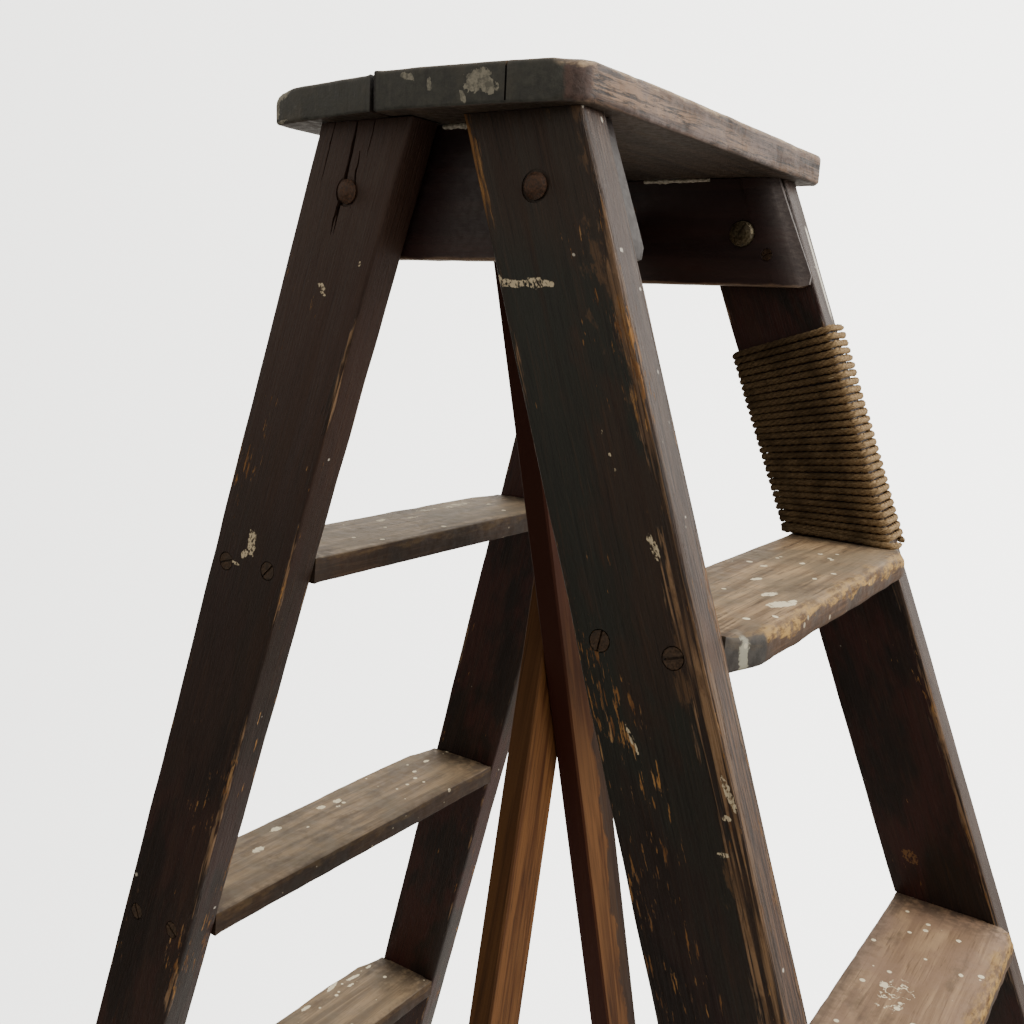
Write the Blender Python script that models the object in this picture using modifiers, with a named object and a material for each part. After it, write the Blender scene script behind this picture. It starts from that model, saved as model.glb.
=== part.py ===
"""Double-sided folding step ladder: two housed-tread ladders under one platform."""
import math

import bmesh
import bpy
from mathutils import Matrix, Vector

# Overall (metres). Depths below are measured down from the platform's underside.
UNDER = 1.490
GAP = 0.0003
X_SHIFT = -0.0805

# Front ladder (+X side) and rear ladder (-X side)
STILE_T = 0.0228
FRONT = {
    "dir": 1.0, "lean": 0.3782, "wide": 0.0698, "edge": 0.0873,
    "half": 0.1421, "splay": 0.0768, "first": 0.2392, "thick": 0.0188,
}
REAR = {
    "dir": -1.0, "lean": 0.2775, "wide": 0.0650, "edge": 0.0763,
    "half": 0.1466, "splay": 0.0643, "first": 0.2460, "thick": 0.0156,
}
STILE_BEVEL = 0.0015

# Treads
TREADS = 5
RISE = 0.250
HOUSING = 0.009
HOUSING_STOP = 0.006
TONGUE_PLAY = 0.0025
NOSE = 0.0125
NOSE_LIP = 0.0014
NOSE_RUN = 0.026
REAR_INSET = 0.0015

# Platform and cheeks
TOP_T = 0.020
BACK_T = 0.0192
CHEEK_T = 0.0128
CHEEK_DEEP = 0.0707

# Pivots
REAR_PIVOT = (-0.0535, 0.0370)
FRONT_PIVOT = (0.0655, 0.0365)
CHEEK_SCREW = (0.0835, 0.0500)
CHEEK_ARC = 0.0365
BOARD_JOINT = -0.0255
BOLT_R = 0.0040
BOLT_HEAD_R = 0.0066
NUT_R = 0.0085
WASHER_PLAY = 0.0010

# Tread screws
SCREW_HEAD_R = 0.0053
SCREW_R = 0.0022
SCREW_LONG = 0.038

# Crossed brace
BRACE_AXIS = (-0.0315, 0.0400)
BRACE_LEAN = 0.0460
BAR_THICK = 0.0165
BAR_WIDE = 0.0394
BAR_TOP = 0.020
BAR_END = 1.050
CROSS_DEPTH = 0.3160
BAR_SLOPE = 0.2448
BAR_FACE_X = -0.0242

# Rope binding
ROPE_R = 0.0021
ROPE_TURNS = 28
ROPE_TOP = 0.1060
ROPE_TILT = 0.288


def collection(name, hidden=False):
    group = bpy.data.collections.new(name)
    bpy.context.scene.collection.children.link(group)
    group.hide_render = hidden
    return group


def wipe():
    for ob in list(bpy.data.objects):
        bpy.data.objects.remove(ob, do_unlink=True)
    for group in list(bpy.data.collections):
        bpy.data.collections.remove(group)


wipe()
PARTS = collection("step_ladder")
CUTTERS = collection("cutters", hidden=True)

FINISH = {
    "stile": ((0.055, 0.036, 0.028), 0.45, 0.0),
    "tread": ((0.200, 0.150, 0.105), 0.60, 0.0),
    "top": ((0.090, 0.070, 0.055), 0.55, 0.0),
    "cheek": ((0.045, 0.028, 0.022), 0.45, 0.0),
    "raw": ((0.230, 0.105, 0.050), 0.55, 0.0),
    "iron": ((0.110, 0.065, 0.045), 0.60, 0.8),
    "brass": ((0.330, 0.260, 0.140), 0.45, 0.9),
    "rope": ((0.330, 0.240, 0.130), 0.90, 0.0),
}


def material(node, finish):
    """One Principled material for one node."""
    color, rough, metal = FINISH[finish]
    mat = bpy.data.materials.new("mat_" + node)
    mat.use_nodes = True
    shader = mat.node_tree.nodes["Principled BSDF"]
    shader.inputs["Base Color"].default_value = (*color, 1.0)
    shader.inputs["Roughness"].default_value = rough
    shader.inputs["Metallic"].default_value = metal
    mat.diffuse_color = (*color, 1.0)
    return mat


def add(name, mesh, finish=None, origin=None):
    """Puts a mesh in the scene: a part when it has a finish, otherwise a cutter."""
    ob = bpy.data.objects.new(name, mesh)
    if finish is None:
        CUTTERS.objects.link(ob)
        ob.hide_render = True
        ob.display_type = "WIRE"
    else:
        PARTS.objects.link(ob)
        mesh.materials.append(material(name, finish))
    if origin is not None:
        mesh.transform(Matrix.Translation(-Vector(origin)))
        ob.location = origin
    return ob


def world(x, depth, y=0.0):
    """World point from local x and depth below the platform's underside."""
    return Vector((x + X_SHIFT, y, UNDER - depth))


def prism(bm, outline, low, high, axis):
    """Closed prism of an outline given in the two other axes' coordinates."""
    put = {
        "X": lambda p, t: (t, p[0], p[1]),
        "Y": lambda p, t: (p[0], t, p[1]),
        "Z": lambda p, t: (p[0], p[1], t),
    }[axis]
    lower = [bm.verts.new(put(p, low)) for p in outline]
    upper = [bm.verts.new(put(p, high)) for p in outline]
    count = len(outline)
    bm.faces.new(lower)
    bm.faces.new(upper)
    for i in range(count):
        j = (i + 1) % count
        bm.faces.new((lower[i], lower[j], upper[j], upper[i]))


def close(bm, name):
    bmesh.ops.recalc_face_normals(bm, faces=bm.faces)
    mesh = bpy.data.meshes.new(name)
    bm.to_mesh(mesh)
    bm.free()
    return mesh


def bevel(ob, width, segments=2):
    mod = ob.modifiers.new("edges", "BEVEL")
    mod.width = width
    mod.segments = segments
    mod.limit_method = "ANGLE"
    mod.angle_limit = math.radians(35)


def cut(ob, cutter):
    mod = ob.modifiers.new("cut_" + cutter.name, "BOOLEAN")
    mod.operation = "DIFFERENCE"
    mod.solver = "EXACT"
    mod.object = cutter


def rod(bm, start, end, r1, r2=None, steps=16):
    """Adds a closed cylinder or cone between two points."""
    start, end = Vector(start), Vector(end)
    way = end - start
    turn = way.to_track_quat("Z", "Y").to_matrix().to_4x4()
    place = Matrix.Translation((start + end) / 2) @ turn
    bmesh.ops.create_cone(
        bm, cap_ends=True, cap_tris=False, segments=steps,
        radius1=r1, radius2=r1 if r2 is None else r2, depth=way.length, matrix=place,
    )


def turned(name, profile, point, way, finish, steps=16, slot=None):
    """Turned piece: profile of (radius, height) from top to bottom, +Z laid along way."""
    mesh = bpy.data.meshes.new(name)
    points = [(r, 0.0, z) for r, z in profile]
    mesh.from_pydata(points, [(i, i + 1) for i in range(len(points) - 1)], [])
    ob = add(name, mesh, finish)
    mod = ob.modifiers.new("turn", "SCREW")
    mod.angle = 2 * math.pi
    mod.steps = steps
    mod.render_steps = steps
    mod.use_merge_vertices = True
    mod.merge_threshold = 0.00001
    mod.use_smooth_shade = True
    turn = Vector(way).to_track_quat("Z", "Y").to_matrix().to_4x4()
    ob.matrix_world = Matrix.Translation(point) @ turn
    if slot:
        wide, deep, angle, top = slot
        bm = bmesh.new()
        box = [(-0.012, -wide / 2), (0.012, -wide / 2), (0.012, wide / 2), (-0.012, wide / 2)]
        prism(bm, box, top - deep, top + 0.004, "Z")
        key = add("slot_" + name, close(bm, "slot_" + name))
        key.matrix_world = ob.matrix_world @ Matrix.Rotation(angle, 4, "Z")
        cut(ob, key)
    return ob


def outer_y(lad, depth):
    return lad["half"] + lad["splay"] * depth


def inner_y(lad, depth):
    return outer_y(lad, depth) - STILE_T


def edge_x(lad, depth, inset=0.0):
    """Local x of the stile's outer edge, moved in by inset."""
    return lad["dir"] * (lad["edge"] + lad["lean"] * depth - inset)


def tread_depth(lad, index):
    return lad["first"] + RISE * index


def out_normal(lad, side):
    return Vector((0.0, side, lad["splay"])).normalized()


def stile_outline(lad):
    """Side view of a stile in local x and depth."""
    wide = lad["wide"]
    return [
        (edge_x(lad, GAP), GAP), (edge_x(lad, GAP, wide), GAP),
        (edge_x(lad, UNDER, wide), UNDER), (edge_x(lad, UNDER), UNDER),
    ]


def housing_ends(lad, depth):
    """Local x of a housing's stopped front end, and of its back end (open in the front ladder)."""
    stopped = lad["wide"] - HOUSING_STOP - lad["lean"] * lad["thick"]
    back = lad["wide"] + 0.03 if lad is FRONT else stopped
    return edge_x(lad, depth, HOUSING_STOP), edge_x(lad, depth, back)


def stile(name, lad, side):
    outline = [(x + X_SHIFT, UNDER - d) for x, d in stile_outline(lad)]
    bm = bmesh.new()
    prism(bm, outline, 0.0, STILE_T, "Y")
    for v in bm.verts:
        v.co.y = side * (inner_y(lad, UNDER - v.co.z) + v.co.y)
    origin = world(REAR_PIVOT[0], REAR_PIVOT[1]) if lad is REAR else None
    ob = add(name, close(bm, name), "stile", origin)
    bevel(ob, STILE_BEVEL, 1)

    bm = bmesh.new()
    for i in range(TREADS):
        top = tread_depth(lad, i) - GAP
        low = top + lad["thick"] + 2 * GAP
        face = [
            (side * (inner_y(lad, top) - 0.006), UNDER - top),
            (side * (inner_y(lad, top) + HOUSING + GAP), UNDER - top),
            (side * (inner_y(lad, low) + HOUSING + GAP), UNDER - low),
            (side * (inner_y(lad, low) - 0.006), UNDER - low),
        ]
        xs = sorted(housing_ends(lad, top + GAP))
        prism(bm, face, xs[0] + X_SHIFT, xs[1] + X_SHIFT, "X")
    cut(ob, add("housings_" + name, close(bm, name + "_housings")))

    wide, hole = SCREW_HEAD_R + 0.00035, SCREW_R + GAP
    profile = [
        (0.0, 0.003), (wide, 0.003), (wide, -0.0010), (hole, -0.0045), (hole, -0.030), (0.0, -0.030),
    ]
    for i in range(TREADS):
        at = screw_seat(lad, side, i)
        tag = f"sink_{name}_{i + 1}"
        cut(ob, turned(tag, profile, at, out_normal(lad, side), None, steps=12))

    px, pd = REAR_PIVOT if lad is REAR else FRONT_PIVOT
    seat = side * (outer_y(lad, pd) - 0.0010)
    bm = bmesh.new()
    rod(bm, world(px, pd, side * 0.10), world(px, pd, side * 0.20), BOLT_R + GAP)
    cut(ob, add("bore_" + name, close(bm, name + "_bore")))
    bm = bmesh.new()
    rod(bm, world(px, pd, seat), world(px, pd, seat + side * 0.02), BOLT_HEAD_R + 0.0006, steps=20)
    cut(ob, add("seat_" + name, close(bm, name + "_seat")))
    if lad is FRONT:
        bm = bmesh.new()
        sx, sd = CHEEK_SCREW
        rod(bm, world(sx, sd, side * 0.05), world(sx, sd, side * (outer_y(lad, sd) - 0.006)),
            0.0018 + GAP, steps=12)
        cut(ob, add("pilot_" + name, close(bm, name + "_pilot")))
    return ob


def screw_seat(lad, side, index):
    """Point on the stile's outer face where a tread screw enters."""
    depth = tread_depth(lad, index) + lad["thick"] / 2 - 0.0012
    x = edge_x(lad, depth, lad["wide"] * (0.24 if lad is FRONT else 0.20))
    return world(x, depth, side * outer_y(lad, depth))


def tread(name, lad, index):
    top = tread_depth(lad, index)
    inside = inner_y(lad, top) - 1.5 * GAP
    long = inner_y(lad, top) + HOUSING - GAP
    face = edge_x(lad, top)
    out = lad["dir"]
    back = face - out * (lad["wide"] - REAR_INSET)
    front_end, back_end = housing_ends(lad, top)
    tongue = front_end - out * TONGUE_PLAY
    half = [
        (back, long), (tongue, long), (tongue, inside),
        (face + out * NOSE_LIP, inside), (face + out * NOSE, inside - NOSE_RUN),
    ]
    if lad is REAR:
        heel = back_end + out * TONGUE_PLAY
        half = [(back, inside), (heel, inside), (heel, long)] + half[1:]
    outline = half + [(x, -y) for x, y in reversed(half)]
    bm = bmesh.new()
    prism(bm, [(x + X_SHIFT, y) for x, y in outline], UNDER - top - lad["thick"], UNDER - top, "Z")
    for v in bm.verts:
        v.co.y += math.copysign(lad["splay"] * (UNDER - top - v.co.z), v.co.y)
    origin = world(REAR_PIVOT[0], REAR_PIVOT[1]) if lad is REAR else None
    ob = add(name, close(bm, name), "tread", origin)
    bevel(ob, 0.0022, 1)
    bm = bmesh.new()
    for side in (-1, 1):
        at = screw_seat(lad, side, index)
        normal = out_normal(lad, side)
        rod(bm, at, at - normal * (SCREW_LONG + 0.0015), SCREW_R + GAP, steps=12)
    cut(ob, add("pilots_" + name, close(bm, name + "_pilots")))
    return ob


def tread_screw(name, lad, side, index):
    head, shank, long = SCREW_HEAD_R, SCREW_R, SCREW_LONG
    profile = [
        (0.0, -0.0004), (head, -0.0004), (head, -0.0008), (shank, -0.0042),
        (shank, 0.006 - long), (0.0, -long),
    ]
    angle = 0.9 + 1.7 * index + 0.6 * side
    turned(name, profile, screw_seat(lad, side, index), out_normal(lad, side), "iron",
           steps=12, slot=(0.0011, 0.0013, angle, -0.0004))


def corner_pocket(side):
    """Hollow under the main board that a rear stile's inner top corner swings up into."""
    px, pd = REAR_PIVOT
    reach = math.hypot(edge_x(REAR, GAP, REAR["wide"]) - px, pd - GAP) + 0.0008
    start, mouth = BOARD_JOINT - 0.002, 0.002
    first = math.asin((start - px) / reach)
    last = math.acos((pd - mouth) / reach)
    outline = [(start, mouth)]
    for step in range(7):
        turn = first + (last - first) * step / 6
        outline.append((px + reach * math.sin(turn), pd - reach * math.cos(turn)))
    ys = sorted((side * (inner_y(REAR, 0.0) - 0.0012), side * (outer_y(REAR, 0.015) + 0.0012)))
    bm = bmesh.new()
    prism(bm, [(x + X_SHIFT, UNDER - d) for x, d in outline], ys[0], ys[1], "Y")
    return add(f"pocket_{ys[0]:.3f}", close(bm, "pocket"))


def platform():
    """Main board fixed over the cheeks, and a back board that turns with the rear ladder."""
    front_x, joint, back_x = 0.0985, BOARD_JOINT, -0.1105
    main = [
        (joint, -0.1625), (0.0030, -0.1610), (0.0550, -0.1560), (0.0810, -0.1510),
        (0.0900, -0.1455), (0.0938, -0.1380), (0.0948, -0.1200), (0.0970, -0.0300),
        (front_x, 0.1560), (0.0950, 0.1625), (joint, 0.1665),
    ]
    back = [
        (back_x, -0.1380), (-0.1080, -0.1490), (-0.0980, -0.1520), (-0.0600, -0.1575),
        (joint - GAP, -0.1618), (joint - GAP, 0.1655), (-0.0985, 0.1630), (back_x, 0.1500),
    ]
    for name, outline, thick in (("top_board_main", main, TOP_T), ("top_board_back", back, BACK_T)):
        bm = bmesh.new()
        points = [(x + X_SHIFT, y) for x, y in outline]
        prism(bm, points, UNDER, UNDER + thick, "Z")
        origin = world(*REAR_PIVOT) if name == "top_board_back" else None
        board = add(name, close(bm, name), "top", origin)
        bevel(board, 0.0025)
        if name == "top_board_main":
            for side in (-1, 1):
                cut(board, corner_pocket(side))


def cheek(name, side):
    """Board on edge inside the stiles, its ends following the stiles' edges."""
    low = CHEEK_DEEP
    nose = 0.008
    trim = 0.0030 if side < 0 else 0.0
    outline = [
        (edge_x(FRONT, GAP, trim - 0.0015), GAP),
        (edge_x(FRONT, low - nose, trim - 0.0040), low - nose),
        (edge_x(FRONT, low, trim - 0.0005), low - 0.0022), (edge_x(FRONT, low, trim + 0.0050), low),
        (edge_x(REAR, low, 0.0120), low), (edge_x(REAR, low, 0.0065), low - 0.0022),
        (edge_x(REAR, low - nose, 0.0035), low - nose),
    ]
    px, pd = REAR_PIVOT
    for turn in (35.6, 24.0, 12.0, 0.0):
        a = math.radians(turn)
        outline.append((px - CHEEK_ARC * math.sin(a), pd - CHEEK_ARC * math.cos(a)))
    outline.append((px + 0.004, GAP))
    bm = bmesh.new()
    prism(bm, [(x + X_SHIFT, UNDER - d) for x, d in outline], -CHEEK_T - GAP, -GAP, "Y")
    for v in bm.verts:
        v.co.y = side * (inner_y(FRONT, UNDER - v.co.z) + v.co.y)
    ob = add(name, close(bm, name), "cheek")
    bevel(ob, 0.0012, 1)
    bm = bmesh.new()
    for px, pd in (REAR_PIVOT, FRONT_PIVOT):
        rod(bm, world(px, pd, side * 0.08), world(px, pd, side * 0.16), BOLT_R + GAP)
    rod(bm, world(*BRACE_AXIS, side * 0.08), world(*BRACE_AXIS, side * 0.16), 0.0030 + GAP, steps=16)
    rod(bm, world(*CHEEK_SCREW, side * 0.08), world(*CHEEK_SCREW, side * 0.16), 0.0018 + GAP, steps=12)
    cut(ob, add("bores_" + name, close(bm, name + "_bores")))
    bm = bmesh.new()
    for px, pd in (REAR_PIVOT, FRONT_PIVOT):
        face = inner_y(FRONT, pd) - GAP - CHEEK_T
        rod(bm, world(px, pd, side * (face - 0.02)), world(px, pd, side * (face + 0.0012)),
            NUT_R + 0.0006, steps=20)
    sx, sd = CHEEK_SCREW
    face = inner_y(FRONT, sd) - GAP - CHEEK_T
    rod(bm, world(sx, sd, side * (face - 0.0020)), world(sx, sd, side * (face + 0.0040)),
        0.0068, 0.0008, 16)
    bx, bd = BRACE_AXIS
    face = inner_y(FRONT, bd) - GAP
    rod(bm, world(bx, bd, side * (face + 0.0020)), world(bx, bd, side * (face - 0.0056)),
        0.0094, 0.0018, 20)
    cut(ob, add("seats_" + name, close(bm, name + "_seats")))


def pivot(tag, lad, side):
    """Domed bolt from outside the stile and the slotted nut inside the cheek."""
    px, pd = REAR_PIVOT if lad is REAR else FRONT_PIVOT
    seat = outer_y(lad, pd) - 0.0010 + GAP
    nut_face = inner_y(FRONT, pd) - GAP - CHEEK_T + 0.0012 - GAP
    r = BOLT_HEAD_R
    reach = seat - nut_face + 0.0032
    head = [(0.0, 0.0036), (r * 0.40, 0.0034), (r * 0.75, 0.0025), (r, 0.0008), (r, 0.0)]
    profile = head + [(BOLT_R, 0.0), (BOLT_R, -reach), (0.0, -reach)]
    turned("pivot_bolt_" + tag, profile, world(px, pd, side * seat), (0, side, 0), "iron")
    n, bore = NUT_R, BOLT_R + GAP
    profile = [
        (0.0, 0.0062), (n * 0.55, 0.0060), (n * 0.90, 0.0048), (n, 0.0030), (n, 0.0),
        (bore, 0.0), (bore, 0.0036), (0.0, 0.0036),
    ]
    turned("pivot_nut_" + tag, profile, world(px, pd, side * nut_face), (0, -side, 0), "brass",
           slot=(0.0016, 0.0014, 0.6 + 0.5 * side, 0.0062))


def washer(name, side):
    px, pd = REAR_PIVOT
    gap_in = inner_y(FRONT, pd) - GAP
    gap_out = inner_y(REAR, pd)
    middle, half = (gap_in + gap_out) / 2, (gap_out - gap_in) / 2 - WASHER_PLAY
    tilt = (FRONT["splay"] + REAR["splay"]) / 2
    profile = [(0.0120, half), (0.0120, -half), (0.0046, -half), (0.0046, half), (0.0120, half)]
    turned(name, profile, world(px, pd, side * middle), (0, side, tilt), "iron")


def cheek_screw(name, side):
    sx, sd = CHEEK_SCREW
    face = inner_y(FRONT, sd) - GAP - CHEEK_T
    profile = [
        (0.0, -0.0003), (0.0037, -0.0003), (0.0038, -0.0006), (0.0018, -0.0026),
        (0.0018, -0.0240), (0.0, -0.0260),
    ]
    turned(name, profile, world(sx, sd, side * face), (0, -side, 0), "iron",
           steps=16, slot=(0.0010, 0.0011, 0.4, -0.0003))


def bar_x(depth):
    """Local x of the back face of the rear bar."""
    return BAR_FACE_X + BRACE_LEAN * depth


def brace_bar(name, sign, layer):
    """Bar crossing the middle plane; sign is the side of its lower end, layer 1 is in front."""
    bm = bmesh.new()
    x0 = layer * (BAR_THICK + GAP)
    corners = []
    for depth in (BAR_TOP, BAR_END):
        mid = sign * BAR_SLOPE * (depth - CROSS_DEPTH)
        corners.append([
            world(bar_x(depth) + x0 + dx, depth, mid + dy)
            for dx, dy in (
                (0.0, -BAR_WIDE / 2), (BAR_THICK, -BAR_WIDE / 2),
                (BAR_THICK, BAR_WIDE / 2), (0.0, BAR_WIDE / 2),
            )
        ])
    rings = [[bm.verts.new(p) for p in ring] for ring in corners]
    bm.faces.new(rings[0])
    bm.faces.new(rings[1])
    for i in range(4):
        j = (i + 1) % 4
        bm.faces.new((rings[0][i], rings[0][j], rings[1][j], rings[1][i]))
    ob = add(name, close(bm, name), "raw", world(*BRACE_AXIS))
    bevel(ob, 0.0012, 1)
    bm = bmesh.new()
    start = world(bar_x(CROSS_DEPTH) - 0.006, CROSS_DEPTH)
    end = start + Vector((0.006 + 0.029, 0, 0))
    rod(bm, start, end, 0.0025 + GAP, steps=12)
    cut(ob, add("hole_" + name, close(bm, name + "_hole")))
    if layer == 0:
        bm = bmesh.new()
        x = bar_x(CROSS_DEPTH)
        rod(bm, world(x - 0.0020, CROSS_DEPTH), world(x + 0.0052, CROSS_DEPTH), 0.0088, 0.0012, 16)
        cut(ob, add("sink_" + name, close(bm, name + "_sink")))
    return ob


def brace():
    """Two crossed bars on a rail that turns between the cheeks."""
    bx, bd = BRACE_AXIS
    deep, half = 0.0300, inner_y(FRONT, bd) - GAP - CHEEK_T - 0.0017
    front = bar_x(bd) - GAP - BRACE_LEAN * deep / 2
    low, high = 2 * bx - front, front
    box = [
        (low + X_SHIFT, -half), (high + X_SHIFT, -half), (high + X_SHIFT, half), (low + X_SHIFT, half),
    ]
    bm = bmesh.new()
    prism(bm, box, UNDER - bd - deep / 2, UNDER - bd + deep / 2, "Z")
    for v in bm.verts:
        v.co.x += BRACE_LEAN * (UNDER - bd - v.co.z)
    rail = add("brace_rail", close(bm, "brace_rail"), "raw", world(bx, bd))
    bevel(rail, 0.0010)
    bm = bmesh.new()
    for side in (-1, 1):
        rod(bm, world(bx, bd, side * (half - 0.0300)), world(bx, bd, side * (half + 0.01)),
            0.0030 + GAP, steps=16)
    cut(rail, add("pins_brace_rail", close(bm, "brace_rail_pins")))

    brace_bar("brace_bar_near", -1.0, 0)
    brace_bar("brace_bar_far", 1.0, 1)

    mid = BAR_SLOPE * (CROSS_DEPTH - bd)
    bm = bmesh.new()
    wide = 0.017
    face = [(-mid - wide, UNDER - bd - 0.014), (-mid + wide, UNDER - bd - 0.014),
            (-mid + wide, UNDER - bd + 0.014), (-mid - wide, UNDER - bd + 0.014)]
    prism(bm, face, 0.0, BAR_THICK - GAP, "X")
    for v in bm.verts:
        v.co.x += bar_x(UNDER - v.co.z) + X_SHIFT
    bevel(add("brace_block", close(bm, "brace_block"), "raw", world(bx, bd)), 0.0008)

    x = bar_x(CROSS_DEPTH)
    profile = [
        (0.0, -0.0003), (0.0052, -0.0003), (0.0053, -0.0006), (0.0025, -0.0036),
        (0.0025, -0.0260), (0.0, -0.0280),
    ]
    turned("brace_screw", profile, world(x, CROSS_DEPTH), (-1, 0, 0), "iron",
           steps=16, slot=(0.0012, 0.0013, 0.7, -0.0003))
    for tag, side in (("near", -1), ("far", 1)):
        face = inner_y(FRONT, bd) - GAP
        long = face - half + 0.0280
        profile = [
            (0.0, -0.0004), (0.0060, -0.0004), (0.0061, -0.0007), (0.0030, -0.0036),
            (0.0030, -long + 0.002), (0.0015, -long), (0.0, -long),
        ]
        turned("brace_pivot_" + tag, profile, world(bx, bd, side * face), (0, side, 0), "iron",
               steps=16, slot=(0.0012, 0.0013, 1.1, -0.0004))


def rope_path():
    """Centre line wound round the far front stile; level at the foot, squarer at the top."""
    lean = math.cos(math.atan(FRONT["lean"]))
    off = ROPE_R + GAP + 0.0001
    off_x, off_y = off / lean, off * 1.003
    wide, deep = FRONT["wide"], STILE_T
    ring = []
    radius = off + 0.0008
    for cx, cy, start in (
        (wide, deep, 0), (0.0, deep, 90), (0.0, 0.0, 180), (wide, 0.0, 270),
    ):
        sx, sy = (1 if cx else -1), (1 if cy else -1)
        mx, my = cx + sx * (off_x - radius), cy + sy * (off_y - radius)
        for step in range(4):
            a = math.radians(start + 30 * step)
            ring.append((mx + radius * math.cos(a), my + radius * math.sin(a)))
    low = FRONT["first"] - ROPE_R - GAP - 0.0003
    count = len(ring) * ROPE_TURNS
    points = []
    for i in range(count + 1):
        t = i / count
        p, q = ring[i % len(ring)]
        climb = low + (ROPE_TOP - low) * t
        depth = climb - ROPE_TILT * t * (p - wide / 2)
        x = edge_x(FRONT, depth, wide) + p
        points.append(world(x, depth, inner_y(FRONT, depth) + q))
    return points


def rope():
    curve = bpy.data.curves.new("rope_line", "CURVE")
    curve.dimensions = "3D"
    curve.bevel_depth = ROPE_R
    curve.bevel_resolution = 1
    curve.use_fill_caps = True
    path = rope_path()
    line = curve.splines.new("POLY")
    line.points.add(len(path) - 1)
    for point, at in zip(line.points, path):
        point.co = (*at, 1.0)
    holder = bpy.data.objects.new("rope_line", curve)
    CUTTERS.objects.link(holder)
    bpy.context.view_layer.update()
    ready = holder.evaluated_get(bpy.context.evaluated_depsgraph_get())
    mesh = bpy.data.meshes.new_from_object(ready)
    bpy.data.objects.remove(holder, do_unlink=True)
    bm = bmesh.new()
    bm.from_mesh(mesh)
    bmesh.ops.remove_doubles(bm, verts=bm.verts, dist=0.00001)
    mesh.materials.clear()
    add("rope_binding", close(bm, "rope_binding"), "rope")


def build():
    platform()
    for tag, side in (("near", -1), ("far", 1)):
        cheek("cheek_" + tag, side)
        stile("front_stile_" + tag, FRONT, side)
        stile("rear_stile_" + tag, REAR, side)
        pivot("front_" + tag, FRONT, side)
        pivot("rear_" + tag, REAR, side)
        washer("pivot_washer_" + tag, side)
        cheek_screw("cheek_screw_" + tag, side)
    for lad, end in ((FRONT, "front"), (REAR, "rear")):
        for i in range(TREADS):
            tread(f"{end}_tread_{i + 1}", lad, i)
            tread_screw(f"{end}_screw_near_{i + 1}", lad, -1, i)
            tread_screw(f"{end}_screw_far_{i + 1}", lad, 1, i)
    brace()
    rope()


build()
bpy.context.view_layer.update()
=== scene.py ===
import math
import random

import bmesh
import bpy
from mathutils import Matrix, Vector, noise

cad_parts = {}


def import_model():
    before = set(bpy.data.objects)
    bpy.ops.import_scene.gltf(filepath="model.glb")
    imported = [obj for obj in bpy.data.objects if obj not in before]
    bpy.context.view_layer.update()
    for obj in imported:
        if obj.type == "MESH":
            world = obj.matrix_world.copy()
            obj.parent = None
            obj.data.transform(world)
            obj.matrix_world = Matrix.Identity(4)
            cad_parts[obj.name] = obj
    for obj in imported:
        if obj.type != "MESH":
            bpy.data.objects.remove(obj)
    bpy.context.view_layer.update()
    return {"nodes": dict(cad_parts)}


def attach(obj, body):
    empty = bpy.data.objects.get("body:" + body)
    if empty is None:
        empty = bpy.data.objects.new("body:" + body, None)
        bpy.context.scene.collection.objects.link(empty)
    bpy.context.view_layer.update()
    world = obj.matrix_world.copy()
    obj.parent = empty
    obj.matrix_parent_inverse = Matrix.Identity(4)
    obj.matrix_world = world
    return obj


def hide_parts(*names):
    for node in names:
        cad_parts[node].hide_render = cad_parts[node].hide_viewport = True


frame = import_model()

rnd = random.Random(7)

# ---------------------------------------------------------------- dimensions, in metres
# Depths are measured down from the platform's underside at height UNDER.
UNDER = 1.49
X_SHIFT = -0.0805
GAP = 0.0003
T = 0.0228  # thickness of every stile
FRONT = dict(tag="front", dir=1.0, lean=0.3782, wide=0.0698, edge=0.0873, half=0.1421,
             splay=0.0768, first=0.2392, thick=0.0188, body="front_frame")
REAR = dict(tag="rear", dir=-1.0, lean=0.2775, wide=0.065, edge=0.0763, half=0.1466,
            splay=0.0643, first=0.246, thick=0.0156, body="rear_ladder")
TREADS, RISE = 5, 0.25
HOUSING, NOSE, REAR_INSET = 0.009, 0.0125, 0.0015
REAR_PIVOT, FRONT_PIVOT = (-0.0535, 0.037), (0.0655, 0.0365)
CHEEK_ARC = 0.0365
HOUSING_STOP, TONGUE_PLAY, NOSE_LIP, NOSE_RUN = 0.006, 0.0025, 0.0014, 0.026
CHEEK_T, CHEEK_DEEP, CHEEK_SCREW = 0.0128, 0.0707, (0.0835, 0.05)
HEAD_R, SHANK_R = 0.0053, 0.0022
SCREWS_ACROSS = {"front": (0.24, 0.79), "rear": (0.2, 0.75)}  # shares of a stile's width
JOINT_X, CRACK_X = -0.0255, 0.053  # joint between the two boards, crack in the main one
MAIN_THICK, BACK_THICK = 0.02, 0.0186
BAR_SLOPE = 0.2448  # a brace bar's sideways run per metre of fall


def world(x, depth, y=0.0):
    return Vector((x + X_SHIFT, y, UNDER - depth))


def outer_y(lad, d):
    return lad["half"] + lad["splay"] * d


def inner_y(lad, d):
    return outer_y(lad, d) - T


def edge_x(lad, d, inset=0.0):
    return lad["dir"] * (lad["edge"] + lad["lean"] * d - inset)


def cheek_face(d):
    """Inner face of a cheek, as a distance from the middle."""
    return inner_y(FRONT, d) - GAP - CHEEK_T


def on_far_stile(p, q, d):
    """Point of the far front stile's cross-section at depth d."""
    return world(edge_x(FRONT, d) - (FRONT["wide"] - p), d, inner_y(FRONT, d) + q)


def stile_corners(wide):
    """Corners of a stile's cross-section, with the angle each one's rounding starts at."""
    return (wide, T, 0), (0.0, T, 90), (0.0, 0.0, 180), (wide, 0.0, 270)


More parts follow.
